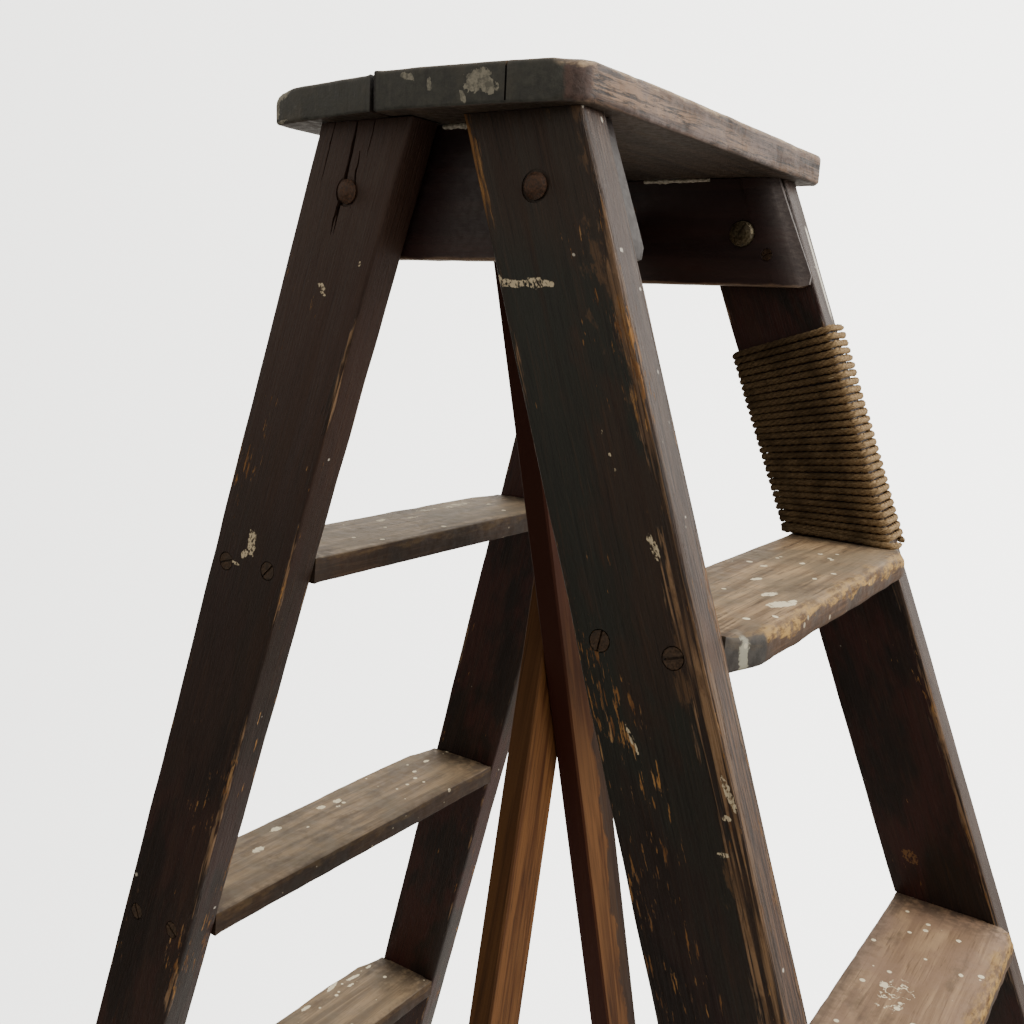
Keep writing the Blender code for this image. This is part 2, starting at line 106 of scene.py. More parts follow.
def quarter_arc(mx, my, r, start):
    """Four points of a quarter turn about a centre, from an angle in degrees."""
    turns = [math.radians(start + 30 * k) for k in range(4)]
    return [(mx + r * math.cos(a), my + r * math.sin(a)) for a in turns]


def out_normal(lad, side):
    return Vector((0.0, side, lad["splay"])).normalized()


def wob(x, y=0.0, z=0.0):
    """Smooth noise from -1 to 1."""
    return noise.noise(Vector((x, y, z)))


def add_object(name, data):
    ob = bpy.data.objects.new(name, data)
    bpy.context.scene.collection.objects.link(ob)
    return ob


def dress(ob, mat):
    """Give an object one material in place of those it has."""
    ob.data.materials.clear()
    ob.data.materials.append(mat)


# ---------------------------------------------------------------- camera, light, floor
def camera():
    yaw, pitch, roll = math.radians(34.06), math.radians(-10.3), math.radians(2.86)
    ahead = Vector((-math.sin(yaw) * math.cos(pitch), math.cos(yaw) * math.cos(pitch), math.sin(pitch)))
    right = Vector((math.cos(yaw), math.sin(yaw), 0.0))
    up = right.cross(ahead)
    r = right * math.cos(roll) + up * math.sin(roll)
    u = up * math.cos(roll) - right * math.sin(roll)
    data = bpy.data.cameras.new("camera")
    data.lens, data.sensor_width, data.clip_start = 37.76, 36.0, 0.02
    ob = add_object("camera", data)
    at = Vector((0.2824, -0.5907, 1.3912))
    ob.matrix_world = Matrix((
        (r.x, u.x, -ahead.x, at.x), (r.y, u.y, -ahead.y, at.y), (r.z, u.z, -ahead.z, at.z), (0, 0, 0, 1),
    ))
    bpy.context.scene.camera = ob


def area(name, at, aim, size, power, color=(1, 1, 1)):
    data = bpy.data.lights.new(name, "AREA")
    data.shape, data.size, data.energy, data.color = "DISK", size, power, color
    ob = add_object(name, data)
    ob.location = at
    ob.rotation_mode = "QUATERNION"
    ob.rotation_quaternion = (Vector(aim) - Vector(at)).to_track_quat("-Z", "Y")


WALL = (4.05, 4.0, 3.82)
ROOM_HIGH, ROOM_LOW = (0.66, 0.61, 0.54), (0.1, 0.085, 0.068)
GLOW_HIGH, GLOW_LOW = (1.9, 1.82, 1.7), (0.62, 0.57, 0.5)
WALL_WAY = Vector((0.36, 0.93, 0.05))
VIEW_RIGHT = Vector((0.83, 0.56, 0.0))


def studio():
    """World seen by the camera as a plain bright wall, and by everything else as a room."""
    world_data = bpy.data.worlds.new("studio")
    bpy.context.scene.world = world_data
    world_data.use_nodes = True
    world_data.node_tree.nodes.clear()
    k = Nodes(world_data.node_tree)
    way = k.new("ShaderNodeTexCoord").outputs["Generated"]

    def along(axis):
        return k.vec("DOT_PRODUCT", way, axis)

    def background(color, strength=1.0):
        node = k.new("ShaderNodeBackground")
        k.put(color, node.inputs[0])
        k.put(strength, node.inputs[1])
        return node.outputs[0]

    height = k.ramp(along((0.0, 0.0, 1.0)), -0.4, 0.18)
    wall = k.ramp(along(WALL_WAY), -0.25, 0.45)
    glow = k.mix(wall, k.mix(height, ROOM_LOW, ROOM_HIGH), k.mix(height, GLOW_LOW, GLOW_HIGH))
    mix = k.new("ShaderNodeMixShader")
    k.link(k.new("ShaderNodeLightPath").outputs["Is Camera Ray"], mix.inputs[0])
    k.link(background(glow), mix.inputs[1])
    k.link(background(WALL, k.add(k.mul(along(VIEW_RIGHT), 0.45), 1.0)), mix.inputs[2])
    k.link(mix.outputs[0], k.new("ShaderNodeOutputWorld").inputs[0])


def surroundings():
    """The wall and room, one large soft light and a floor that fades out."""
    area("key", (2.4, 0.9, 2.9), (0.0, 0.0, 1.1), 1.6, 55, (1.0, 0.98, 0.95))
    studio()
    mesh = bpy.data.meshes.new("floor")
    bm = bmesh.new()
    bmesh.ops.create_circle(bm, cap_ends=True, segments=96, radius=1.3)
    bm.to_mesh(mesh)
    bm.free()
    floor = add_object("floor", mesh)
    m = Mat("floor")
    fade = m.fall(m.vec("LENGTH", m.p), 0.85, 1.28)
    grain = m.noise(m.p, 60.0, 3.0)
    color = m.mix(grain, (0.78, 0.77, 0.74), (0.84, 0.83, 0.8))
    mesh.materials.append(m.finish(color, 0.9, Alpha=fade))


# ---------------------------------------------------------------- material kit
class Nodes:
    """Short names for shader nodes."""

    def __init__(self, node_tree):
        self.nt = node_tree

    def new(self, kind, **props):
        node = self.nt.nodes.new(kind)
        for key, value in props.items():
            setattr(node, key, value)
        return node

    def link(self, a, b):
        self.nt.links.new(a, b)

    def put(self, value, socket):
        if isinstance(value, bpy.types.NodeSocket):
            self.link(value, socket)
        elif isinstance(value, (tuple, list, Vector)) and socket.type == "RGBA":
            socket.default_value = (*tuple(value)[:3], 1.0)
        else:
            socket.default_value = value

    def math(self, op, a, b=0.0):
        node = self.new("ShaderNodeMath", operation=op)
        self.put(a, node.inputs[0])
        self.put(b, node.inputs[1])
        return node.outputs[0]

    def add(self, a, *more):
        for b in more:
            a = self.math("ADD", a, b)
        return a

    def sub(self, a, b):
        return self.math("SUBTRACT", a, b)

    def mul(self, a, *more):
        for b in more:
            a = self.math("MULTIPLY", a, b)
        return a

    def gap(self, a, b):
        return self.math("ABSOLUTE", self.sub(a, b))

    def shake(self, fuzz, size):
        """A 0 to 1 noise made to swing about zero."""
        return self.mul(self.sub(fuzz, 0.5), size)

    def top(self, a, b):
        return self.math("MAXIMUM", a, b)

    def low(self, a, b):
        return self.math("MINIMUM", a, b)

    def vec(self, op, a, b=(0, 0, 0)):
        node = self.new("ShaderNodeVectorMath", operation=op)
        self.put(a, node.inputs[0])
        self.put(b, node.inputs[1])
        return node.outputs["Value" if op in ("LENGTH", "DOT_PRODUCT") else "Vector"]

    def xyz(self, x, y, z):
        node = self.new("ShaderNodeCombineXYZ")
        for value, socket in zip((x, y, z), node.inputs):
            self.put(value, socket)
        return node.outputs[0]

    def split(self, v):
        node = self.new("ShaderNodeSeparateXYZ")
        self.link(v, node.inputs[0])
        return node.outputs

    def scale(self, v, s):
        return self.vec("MULTIPLY", v, s)

    def noise(self, v, size, detail=3.0, rough=0.55, warp=0.0):
        node = self.new("ShaderNodeTexNoise")
        self.put(v, node.inputs["Vector"])
        node.inputs["Scale"].default_value = size
        node.inputs["Detail"].default_value = detail
        node.inputs["Roughness"].default_value = rough
        node.inputs["Distortion"].default_value = warp
        return node.outputs["Fac"]

    def cells(self, v, size):
        node = self.new("ShaderNodeTexVoronoi")
        self.put(v, node.inputs["Vector"])
        node.inputs["Scale"].default_value = size
        return node.outputs["Distance"], self.split(node.outputs["Color"])

    def ramp(self, x, lo, hi, a=0.0, b=1.0):
        node = self.new("ShaderNodeMapRange", interpolation_type="SMOOTHSTEP")
        for value, socket in zip((x, lo, hi, a, b), node.inputs):
            self.put(value, socket)
        return node.outputs[0]

    def fall(self, x, lo, hi):
        return self.ramp(x, lo, hi, 1.0, 0.0)

    def mix(self, fac, a, b):
        node = self.new("ShaderNodeMix", data_type="RGBA")
        self.put(fac, node.inputs[0])
        self.put(a, node.inputs[6])
        self.put(b, node.inputs[7])
        return node.outputs[2]

    def tone(self, base, color, x, lo, hi, a=0.0, b=1.0):
        """Base colour going over to color as x goes from lo to hi."""
        return self.mix(self.ramp(x, lo, hi, a, b), base, color)


class Mat(Nodes):
    """A material; p is the object position in metres, along the axis its grain runs on."""

    def __init__(self, name, along=2):
        self.mat = bpy.data.materials.new(name)
        self.mat.use_nodes = True
        super().__init__(self.mat.node_tree)
        self.b = self.nt.nodes["Principled BSDF"]
        tc = self.new("ShaderNodeTexCoord")
        self.p, self.n = tc.outputs["Object"], tc.outputs["Normal"]
        self.along = along

    def finish(self, color, rough, normal=None, specular=None, **extra):
        """Wire the results into the shader."""
        given = {"Base Color": color, "Roughness": rough, "Normal": normal,
                 "Specular IOR Level": specular, **extra}
        for name, value in given.items():
            if value is not None:
                self.put(value, self.b.inputs[name])
        return self.mat

    def plane(self, a, c):
        """Linear function a.p + c of the position."""
        return self.add(self.vec("DOT_PRODUCT", self.p, a), c)

    def drawn(self, v, stretch, *look):
        """Noise drawn out along the grain."""
        way = [1, 1, 1]
        way[self.along] = stretch
        return self.noise(self.scale(v, way), *look)

    def bump(self, height, strength, distance=0.001, after=None):
        node = self.new("ShaderNodeBump")
        self.put(height, node.inputs["Height"])
        node.inputs["Strength"].default_value = strength
        node.inputs["Distance"].default_value = distance
        if after is not None:
            self.link(after, node.inputs["Normal"])
        return node.outputs[0]

    def marks(self, u, v, spots, ragged=0.5, seed=0.0):
        """Mask of ragged paint marks: (u, v, half u, half v, turn in degrees) in millimetres."""
        total = None
        fuzz = self.noise(self.vec("ADD", self.p, (seed, 0, 0)), 420.0, 3.0, 0.6)
        for cu, cv, ru, rv, turn in spots:
            c, s = math.cos(math.radians(turn)), math.sin(math.radians(turn))
            du, dv = self.sub(u, cu / 1000), self.sub(v, cv / 1000)
            a = self.add(self.mul(du, c * 1000 / ru), self.mul(dv, s * 1000 / ru))
            b = self.add(self.mul(du, -s * 1000 / rv), self.mul(dv, c * 1000 / rv))
            r = self.vec("LENGTH", self.xyz(a, b, 0.0))
            total = r if total is None else self.low(total, r)
        rough = self.add(total, self.mul(self.sub(fuzz, 0.5), ragged * 3.0))
        return self.ramp(rough, 0.92, 1.0, 1.0, 0.0)

    def specks(self, v, size, share, big=0.3, seed=0.0):
        """Sparse round paint specks; share is how many of the cells have one."""
        d, c = self.cells(self.vec("ADD", v, (seed, seed * 0.7, 0.0)), size)
        on = self.ramp(c[0], 1.0 - share, 1.0 - share + 0.001)
        r = self.ramp(c[1], 0.0, 1.0, big * 0.25, big)
        return self.mul(on, self.ramp(self.sub(d, r), -0.03, 0.02, 1.0, 0.0))


def local_planes(lad, side):
    """Linear maps to p (in from the outer edge), q (out from the inner face), w (down the stile)."""
    c = math.cos(math.atan(lad["lean"]))
    o, ln = lad["dir"], lad["lean"]
    p = ((-o * c, 0, -ln * c), (lad["edge"] + ln * UNDER + o * X_SHIFT) * c)
    q = ((0, side, lad["splay"]), -(lad["half"] - T + lad["splay"] * UNDER))
    w = ((0, 0, -1 / c), UNDER / c)
    return p, q, w, lad["wide"] * c


def stile_wood(name, lad, side, seed, marks=(), worn=(0.5, 0.5), flecks=0.5, green=0.5, red=0.5, drip=False,
               top_wear=0.0, depth=1.0, haze=0.0):
    """Near-black stain over orange-brown wood, rubbed off in fibrous streaks along the arrises."""
    m = Mat(name)
    (pa, pc), (qa, qc), (wa, wc), wide = local_planes(lad, side)
    p, q, w = m.plane(pa, pc), m.plane(qa, qc), m.plane(wa, wc)
    at = m.vec("ADD", m.xyz(p, q, w), (seed, seed * 1.3, seed * 0.7))
    dp0, dpw = m.top(p, 0.0), m.top(m.sub(wide, p), 0.0)
    dq = m.top(m.low(q, m.sub(T, q)), 0.0)
    fibre = m.drawn(at, 0.07, 420.0, 4.0, 0.66, 0.2)
    broad = m.drawn(at, 0.06, 75.0, 3.0, 0.6, 0.4)
    cloud = m.drawn(at, 0.4, 26.0, 4.0, 0.62)
    patch = m.noise(m.scale(at, (0.2, 0.2, 1)), 13.0, 3.0, 0.6)
    grain = m.drawn(at, 0.035, 700.0, 5.0, 0.7, 0.5)

    black = m.tone((0.009 + 0.006 * green, 0.0085 + 0.008 * green, 0.0062 + 0.006 * green),
                   (0.029, 0.017, 0.0105), cloud, 0.47, 0.58)
    brown = m.tone(((0.019 + 0.016 * red) * depth, 0.0078 * depth, 0.0062 * depth),
                   (0.009 * depth, 0.0044 * depth, 0.0034 * depth), cloud, 0.44, 0.58)
    lower = m.ramp(m.add(w, m.shake(cloud, 0.5)), 0.26, 0.44)
    dark = m.mix(m.top(lower, 1.0 - green), black, brown)
    dark = m.tone(dark, (0.03, 0.017, 0.01), w, 0.05, 0.09, 0.75, 0.0)
    dark = m.tone(dark, (0.03 * depth, 0.0125 * depth, 0.0065 * depth), broad, 0.45, 0.75, 0.0, 0.6)
    dark = m.tone(dark, (0.048, 0.0225, 0.015), w, 0.1, 0.32, 0.8 * haze, 0.05 * haze)
    coat = m.tone(dark, (0.06, 0.027, 0.012), grain, 0.53, 0.68, 0.0, 0.34)
    scuff = m.drawn(at, 0.45, 62.0, 5.0, 0.7)
    scuff = m.add(scuff, m.ramp(dp0, 0.004, 0.034, 0.075, -0.1))
    coat = m.mix(m.mul(m.ramp(scuff, 0.585, 0.655, 0.0, 0.8 * top_wear), m.ramp(fibre, 0.36, 0.56)), coat,
                 (0.115, 0.062, 0.028))
    coat = m.tone(coat, (0.0045, 0.003, 0.0024), grain, 0.36, 0.46, 0.55 - 0.3 * haze, 0.0)
    edge_face = m.ramp(dp0, 0.0004, 0.001, 0.92, 0.0)
    edge_wood = m.tone((0.022, 0.0115, 0.0085), (0.08, 0.05, 0.036), grain, 0.4, 0.62)
    edge_wood = m.tone(edge_wood, (0.034, 0.0155, 0.011), cloud, 0.46, 0.6, 0.0, 0.7)
    edge_wood = m.mix(m.mul(m.ramp(grain, 0.46, 0.6), m.ramp(w, 0.16, 0.34, 0.0, 0.7 * top_wear)), edge_wood,
                      (0.13, 0.066, 0.034))
    coat = m.mix(edge_face, coat, edge_wood)

    amount = m.ramp(patch, 0.44, 0.62, 0.0, 1.2) if haze else m.ramp(patch, 0.34, 0.58, 0.55, 1.15)
    more = m.ramp(w, 0.02, 0.09, 0.3, 1.0) if top_wear else m.ramp(w, 0.035, 0.17, 0.22, 1.0)
    reach = m.mul(amount, more, 0.0112)
    rag = m.shake(fibre, 0.02)
    tight = m.mul(dq, 2.2)
    near0 = m.sub(m.add(dp0, tight, rag), m.add(m.mul(reach, worn[0]), -0.0006))
    reach1 = m.add(m.mul(reach, worn[1]), m.ramp(w, 0.015, 0.06, 0.005 * top_wear, 0.0))
    near1 = m.sub(m.add(dpw, tight, rag), m.add(reach1, -0.0006))
    strip = m.top(m.fall(near0, -0.001, 0.001), m.fall(near1, -0.001, 0.001))
    streak = m.drawn(at, 0.13, 470.0, 4.0, 0.66)
    cluster = m.drawn(at, 0.45, 26.0, 3.0, 0.6)
    bias = m.add(m.ramp(cluster, 0.38, 0.7, -0.12, 0.055), m.ramp(m.low(dp0, dpw), 0.0, 0.016, 0.035, 0.0))
    bias = m.add(bias, m.mul(strip, 0.07), m.ramp(w, 0.0, 0.3, -0.035, 0.008))
    fleck = m.ramp(m.add(streak, bias), 0.66 - 0.035 * flecks, 0.69 - 0.035 * flecks)
    crown = m.ramp(w, 0.055, 0.085) if lad is REAR else m.ramp(w, 0.0, 0.01, 0.6, 1.0)
    strip = m.mul(strip, crown)
    bare = m.mul(fleck, crown)
    if top_wear:
        band = m.fall(m.add(dpw, m.mul(rag, 0.7), tight), 0.0034, 0.0054)
        bare = m.top(bare, m.mul(band, m.ramp(m.add(w, m.mul(rag, 2.0)), 0.04, 0.062, 0.85, 0.0)))
    ridge = m.drawn(at, 0.022, 470.0, 3.0, 0.55, 0.35)
    rubbed = m.tone((0.02, 0.01, 0.006), (0.275, 0.165, 0.088), ridge, 0.44, 0.56)
    rubbed = m.tone(rubbed, (0.06, 0.03, 0.015), scuff, 0.5, 0.64, 0.0, 0.6)
    warm = m.mul(m.ramp(cluster, 0.48, 0.62, 0.1, 0.75),
                 m.mul(m.ramp(fibre, 0.46, 0.56), m.ramp(ridge, 0.46, 0.56)))
    rubbed = m.mix(warm, rubbed, (0.33, 0.17, 0.056))
    rubbed = m.mix(m.mul(edge_face, 0.6), rubbed, (0.05, 0.028, 0.018))
    coat = m.mix(m.mul(strip, 0.94), coat, rubbed)
    tone = m.drawn(at, 0.12, 150.0, 4.0, 0.6)
    wood = m.tone((0.13, 0.052, 0.015), (0.4, 0.195, 0.055), tone, 0.36, 0.66)
    wood = m.tone(wood, (0.5, 0.31, 0.145), fibre, 0.3, 0.5, 0.6, 0.0)
    wood = m.tone(wood, (0.03, 0.013, 0.007), grain, 0.52, 0.64, 0.0, 0.85)
    wood = m.mix(m.mul(edge_face, 0.5), wood, (0.06, 0.032, 0.018))
    color = m.mix(bare, coat, wood)
    white = m.top(m.specks(at, 42.0, 0.045, 0.07, seed), m.specks(at, 95.0, 0.035, 0.1, seed + 9))
    streaks = m.specks(m.scale(at, (1, 1, 0.22)), 75.0, 0.01, 0.16, seed + 3)
    if top_wear:
        fine_drops = m.mul(m.specks(m.scale(at, (1, 1, 0.6)), 130.0, 0.13, 0.16, seed + 6),
                           m.fall(w, 0.2, 0.26))
        white = m.top(white, m.mul(fine_drops, edge_face))
    color = m.mix(m.mul(m.top(white, streaks), 0.85), color, (0.58, 0.54, 0.46))
    if marks:
        paint = m.marks(p, w, marks, 0.42, seed)
        broken = m.ramp(m.drawn(at, 0.6, 700.0, 3.0, 0.6), 0.42, 0.52)
        color = m.mix(m.mul(paint, broken), color, (0.17, 0.082, 0.028) if drip else (0.66, 0.56, 0.38))
    if drip:
        path = m.add(m.mul(w, 0.012), 0.0158)
        away = m.add(m.gap(q, path), m.shake(cloud, 0.002))
        run = m.mul(m.fall(away, 0.0014, 0.0022), m.mul(m.ramp(w, 0.03, 0.034), m.fall(w, 0.088, 0.1)))
        color = m.mix(m.mul(run, m.fall(dp0, 0.0016, 0.003)), color, (0.7, 0.66, 0.56))
    ridges = m.add(m.mul(grain, 0.7), m.mul(ridge, strip, 1.4))
    fine_bump = m.bump(m.sub(ridges, m.mul(bare, 0.3)), 0.9, 0.0012)
    waves = m.add(m.drawn(at, 0.12, 60.0, 4.0, 0.6), m.mul(cloud, 0.6))
    rough = m.add(m.ramp(broad, 0.3, 0.8, 0.38, 0.54), m.mul(bare, 0.2))
    return m.finish(color, rough, m.bump(waves, 0.28, 0.0016, fine_bump), 0.36)


def tread_wood(name, lad, index, seed, spots=(), nose_bare=0.6, warm=0.5, streak=None, lace=None):
    """Foot-worn top, chipped nosing, dark stain below and behind; painted shade makes the downward faces darker
    still.
    """
    m = Mat(name, 1)
    o, d = lad["dir"], lad["first"] + RISE * index
    face = lad["edge"] + lad["lean"] * d + NOSE
    u = m.plane((-o, 0, 0), face + o * X_SHIFT)
    v = m.plane((0, 1, 0), 0.0)
    t = m.plane((0, 0, -1), UNDER - d)
    at = m.vec("ADD", m.xyz(u, v, t), (seed, seed * 1.7, seed * 0.4))
    nz = m.split(m.n)[2]
    up = m.ramp(nz, 0.55, 0.85)
    grain = m.drawn(at, 0.035, 560.0, 5.0, 0.7, 0.5)
    rings = m.drawn(at, 0.05, 120.0, 4.0, 0.65, 0.5)
    cloud = m.noise(at, 22.0, 4.0, 0.6)
    fine = m.noise(at, 160.0, 4.0, 0.6)
    k = 0.62 + 0.38 * warm
    worn = m.tone((0.205 * k, 0.134 * k, 0.075 * k), (0.52 * k, 0.356 * k, 0.198 * k), rings, 0.38, 0.66)
    worn = m.tone(worn, (0.062 * k, 0.04 * k, 0.022 * k), grain, 0.53, 0.64, 0.0, 0.8 if warm > 0.5 else 0.35)
    worn = m.tone(worn, (0.215 * k, 0.17 * k, 0.112 * k), cloud, 0.4, 0.66, 0.0, 0.7)
    if lad is REAR:
        chalk = 0.55 if index == 0 else 0.22
        worn = m.tone(worn, (0.235, 0.205, 0.155), fine, 0.3, 0.62, 0.2, chalk)
    if lad is FRONT and index == 1:
        worn = m.tone(worn, (0.3, 0.185, 0.122), cloud, 0.36, 0.6, 0.35, 0.75)
    dirt = m.drawn(at, 0.5, 34.0, 5.0, 0.68)
    worn = m.tone(worn, (0.1 * k, 0.07 * k, 0.046 * k), dirt, 0.54, 0.7, 0.0, 0.6)
    ends = m.ramp(m.math("ABSOLUTE", v), inner_y(lad, d) - 0.035, inner_y(lad, d), 0.0, 0.75)
    worn = m.mix(m.mul(ends, m.ramp(fine, 0.3, 0.6)), worn, (0.06, 0.045, 0.036))
    back = m.ramp(m.add(u, m.shake(fine, 0.03)), 0.068, 0.082, 0.0, 0.55)
    worn = m.mix(back, worn, (0.09, 0.068, 0.052))
    g = 1.0 if warm > 0.5 else 0.45
    stain = m.tone((0.06 * g, 0.031 * g, 0.016 * g), (0.14 * g, 0.077 * g, 0.04 * g), grain, 0.42, 0.75)
    stain = m.tone(stain, (0.056 * g, 0.038 * g, 0.028 * g), cloud, 0.45, 0.65)
    # Painted shade: downward faces are coloured darker than the stain on the sides.
    under = m.fall(nz, -0.85, -0.55)
    stain = m.mix(m.mul(under, 0.6), stain, (0.032, 0.019, 0.014))
    flakes = m.drawn(at, 0.3, 230.0, 5.0, 0.7)
    bare_tone = m.tone((0.1, 0.048, 0.012), (0.38, 0.228, 0.064), flakes, 0.4, 0.58)
    rag = m.shake(m.drawn(at, 0.35, 120.0, 4.0, 0.6), 0.02)
    long = m.noise(m.scale(at, (0.0, 1, 0.0)), 9.0, 2.0)
    reach = m.ramp(long, 0.3, 0.6, 0.0005 + 0.004 * nose_bare, 0.0085 * nose_bare + 0.0005)
    front = m.fall(u, 0.008, 0.02)
    chip = m.mul(m.fall(m.sub(m.add(t, rag), reach), -0.001, 0.001), front, m.ramp(fine, 0.36, 0.5, 0.35, 1.0))
    arris = m.ramp(m.add(t, m.sub(0.0705, u), rag), -0.002, 0.001, 0.04 + 0.66 * nose_bare, 0.0)
    side = m.mix(m.top(chip, m.mul(arris, m.ramp(u, 0.05, 0.06))), stain, bare_tone)
    side = m.tone(side, (0.06, 0.04, 0.028), grain, 0.62, 0.85, 0.0, 0.6)
    color = m.mix(up, side, worn)
    lip = m.mul(m.fall(m.add(u, rag), 0.002, 0.009), up)
    color = m.mix(m.mul(lip, 0.25 + 0.5 * nose_bare), color, bare_tone)
    if streak is not None:
        corner = inner_y(lad, d) - NOSE_RUN
        nose_end = m.mul(m.fall(u, 0.013, 0.0145), m.sub(1.0, m.mul(up, 0.85)),
                         m.ramp(v, 0.0015 - corner, -corner - 0.0015))
        color = m.mix(m.mul(nose_end, 0.92), color,
                      m.tone((0.03, 0.029, 0.027), (0.066, 0.062, 0.057), fine, 0.35, 0.65))
        away = m.add(m.gap(v, streak), m.shake(fine, 0.012))
        color = m.mix(m.mul(nose_end, m.fall(away, 0.0016, 0.003)), color, (0.33, 0.32, 0.25))
    flecks = m.top(m.specks(at, 60.0, 0.22, 0.13, seed), m.specks(at, 120.0, 0.16, 0.24, seed + 8))
    drops = m.specks(at, 24.0, 0.1, 0.14, seed + 5)
    paint = m.mul(m.top(flecks, drops), m.top(up, 0.35))
    if spots:
        thin = (0.4, 0.62, 0.0, 0.65) if lad is REAR and index == 0 else (0.3, 0.38)
        paint = m.top(paint, m.mul(m.marks(u, v, spots, 0.45, seed), up, m.ramp(fine, *thin)))
    if lace:
        lines = m.fall(m.gap(m.noise(at, 120.0, 3.0, 0.55), 0.5), 0.008, 0.022)
        paint = m.top(paint, m.mul(m.marks(u, v, (lace,), 0.5, seed), lines, m.ramp(fine, 0.42, 0.5)))
    color = m.mix(m.mul(paint, 0.96), color, (0.92, 0.82, 0.58))
    height = m.add(m.mul(grain, -0.5), m.add(m.mul(rings, 0.6), m.mul(paint, 0.5)))
    normal = m.bump(m.noise(at, 70.0, 4.0, 0.6), 0.25, 0.0018, m.bump(height, 0.5, 0.0006))
    return m.finish(color, m.ramp(fine, 0.3, 0.7, 0.5, 0.72), normal, 0.3)


def board_wood(name, seed, marks=(), crack=None):
    """Platform: greenish-black painted ends, weathered brown sides with a tan arris."""
    m = Mat(name, 1)
    x, y, z = m.split(m.p)
    at = m.vec("ADD", m.p, (seed, seed, seed))
    nx, ny, nz = m.split(m.n)
    grain = m.drawn(at, 0.04, 430.0, 4.0, 0.66, 0.4)
    broad = m.drawn(at, 0.07, 90.0, 4.0, 0.62, 0.5)
    cloud = m.noise(at, 26.0, 4.0, 0.62)
    fine = m.noise(at, 230.0, 4.0, 0.6)
    long_side = m.tone((0.044, 0.022, 0.016), (0.24, 0.146, 0.088), broad, 0.36, 0.64)
    long_side = m.tone(long_side, (0.02, 0.011, 0.009), grain, 0.5, 0.6)
    haze = m.mul(m.ramp(cloud, 0.47, 0.62, 0.0, 0.75), m.ramp(fine, 0.34, 0.6))
    long_side = m.mix(haze, long_side, (0.185, 0.14, 0.125))
    check = m.drawn(at, 0.05, 250.0, 4.0, 0.7, 0.8)
    long_side = m.tone(long_side, (0.012, 0.008, 0.007), m.gap(check, 0.5), 0.006, 0.018, 0.8, 0.0)
    end = m.tone((0.03, 0.031, 0.027), (0.066, 0.067, 0.057), fine, 0.35, 0.75)
    ticks = m.noise(m.scale(at, (1, 1, 0.12)), 330.0, 4.0, 0.62)
    end = m.tone(end, (0.07, 0.062, 0.046), cloud, 0.5, 0.68, 0.0, 0.8)
    end = m.tone(end, (0.105, 0.098, 0.08), ticks, 0.54, 0.7, 0.0, 0.22)
    end = m.tone(end, (0.012, 0.012, 0.01), ticks, 0.34, 0.44, 0.35, 0.0)
    corner = m.ramp(m.add(x, m.shake(fine, 0.004)), 0.0005, 0.003)
    ruddy = m.tone((0.04, 0.022, 0.017), (0.085, 0.05, 0.04), fine, 0.36, 0.66)
    end = m.mix(corner, end, ruddy)
    if crack is not None:
        # Painted shade: the crack's walls are coloured near-black for the shadow inside it.
        crack_shade = m.fall(m.gap(x, crack), 0.0016, 0.0022)
        long_side = m.mix(crack_shade, long_side, (0.006, 0.005, 0.004))
    top = m.tone((0.12, 0.082, 0.058), (0.27, 0.205, 0.15), broad, 0.35, 0.68)
    top = m.tone(top, (0.085, 0.072, 0.062), cloud, 0.42, 0.62, 0.0, 0.85)
    top = m.tone(top, (0.055, 0.04, 0.032), grain, 0.52, 0.8)
    # Painted shade: downward faces are given a darker brown than the sides.
    below = m.tone((0.026, 0.017, 0.011), (0.062, 0.041, 0.027), broad, 0.35, 0.7)
    color = m.tone(long_side, end, m.math("ABSOLUTE", ny), 0.34, 0.52)
    color = m.tone(color, top, nz, 0.62, 0.88)
    color = m.tone(color, below, nz, -0.88, -0.62, 1.0, 0.0)
    rag = m.shake(m.drawn(at, 0.4, 110.0, 4.0, 0.62), 0.011)
    lim = m.low(m.sub(UNDER + 0.019, z), m.add(m.sub(z, UNDER), 0.0028))
    arris = m.fall(m.add(lim, rag), -0.0004, 0.0026)
    facing = m.ramp(m.math("ABSOLUTE", nx), 0.25, 0.6)
    tan = m.tone((0.15, 0.088, 0.042), (0.46, 0.335, 0.205), m.drawn(at, 0.12, 320.0, 4.0, 0.7), 0.38, 0.58)
    color = m.mix(m.mul(arris, m.add(m.mul(facing, 0.84), 0.04)), color, tan)
    seam = m.fall(m.gap(x, JOINT_X + X_SHIFT), 0.0014, 0.0024)
    color = m.mix(seam, color, (0.01, 0.008, 0.007))
    drops = m.specks(at, 30.0, 0.09, 0.13, seed)
    tiny = m.specks(at, 85.0, 0.05, 0.12, seed + 2)
    paint = m.mul(m.top(drops, tiny), m.ramp(nz, -0.2, 0.2, 0.0, 0.9))
    if marks:
        near = m.fall(y, -0.135, -0.13)
        thin = m.ramp(m.noise(at, 340.0, 4.0, 0.65), 0.36, 0.58, 0.35, 1.0)
        paint = m.top(paint, m.mul(m.marks(x, z, marks, 0.55, seed), near, thin))
    color = m.mix(m.mul(paint, 0.86), color, (0.34, 0.32, 0.25))
    fine_bump = m.bump(m.sub(m.mul(broad, 0.6), m.mul(grain, 0.6)), 0.6, 0.0008)
    normal = m.bump(m.add(cloud, m.mul(fine, 0.25)), 0.35, 0.0022, fine_bump)
    return m.finish(color, m.ramp(fine, 0.3, 0.7, 0.42, 0.68), normal)


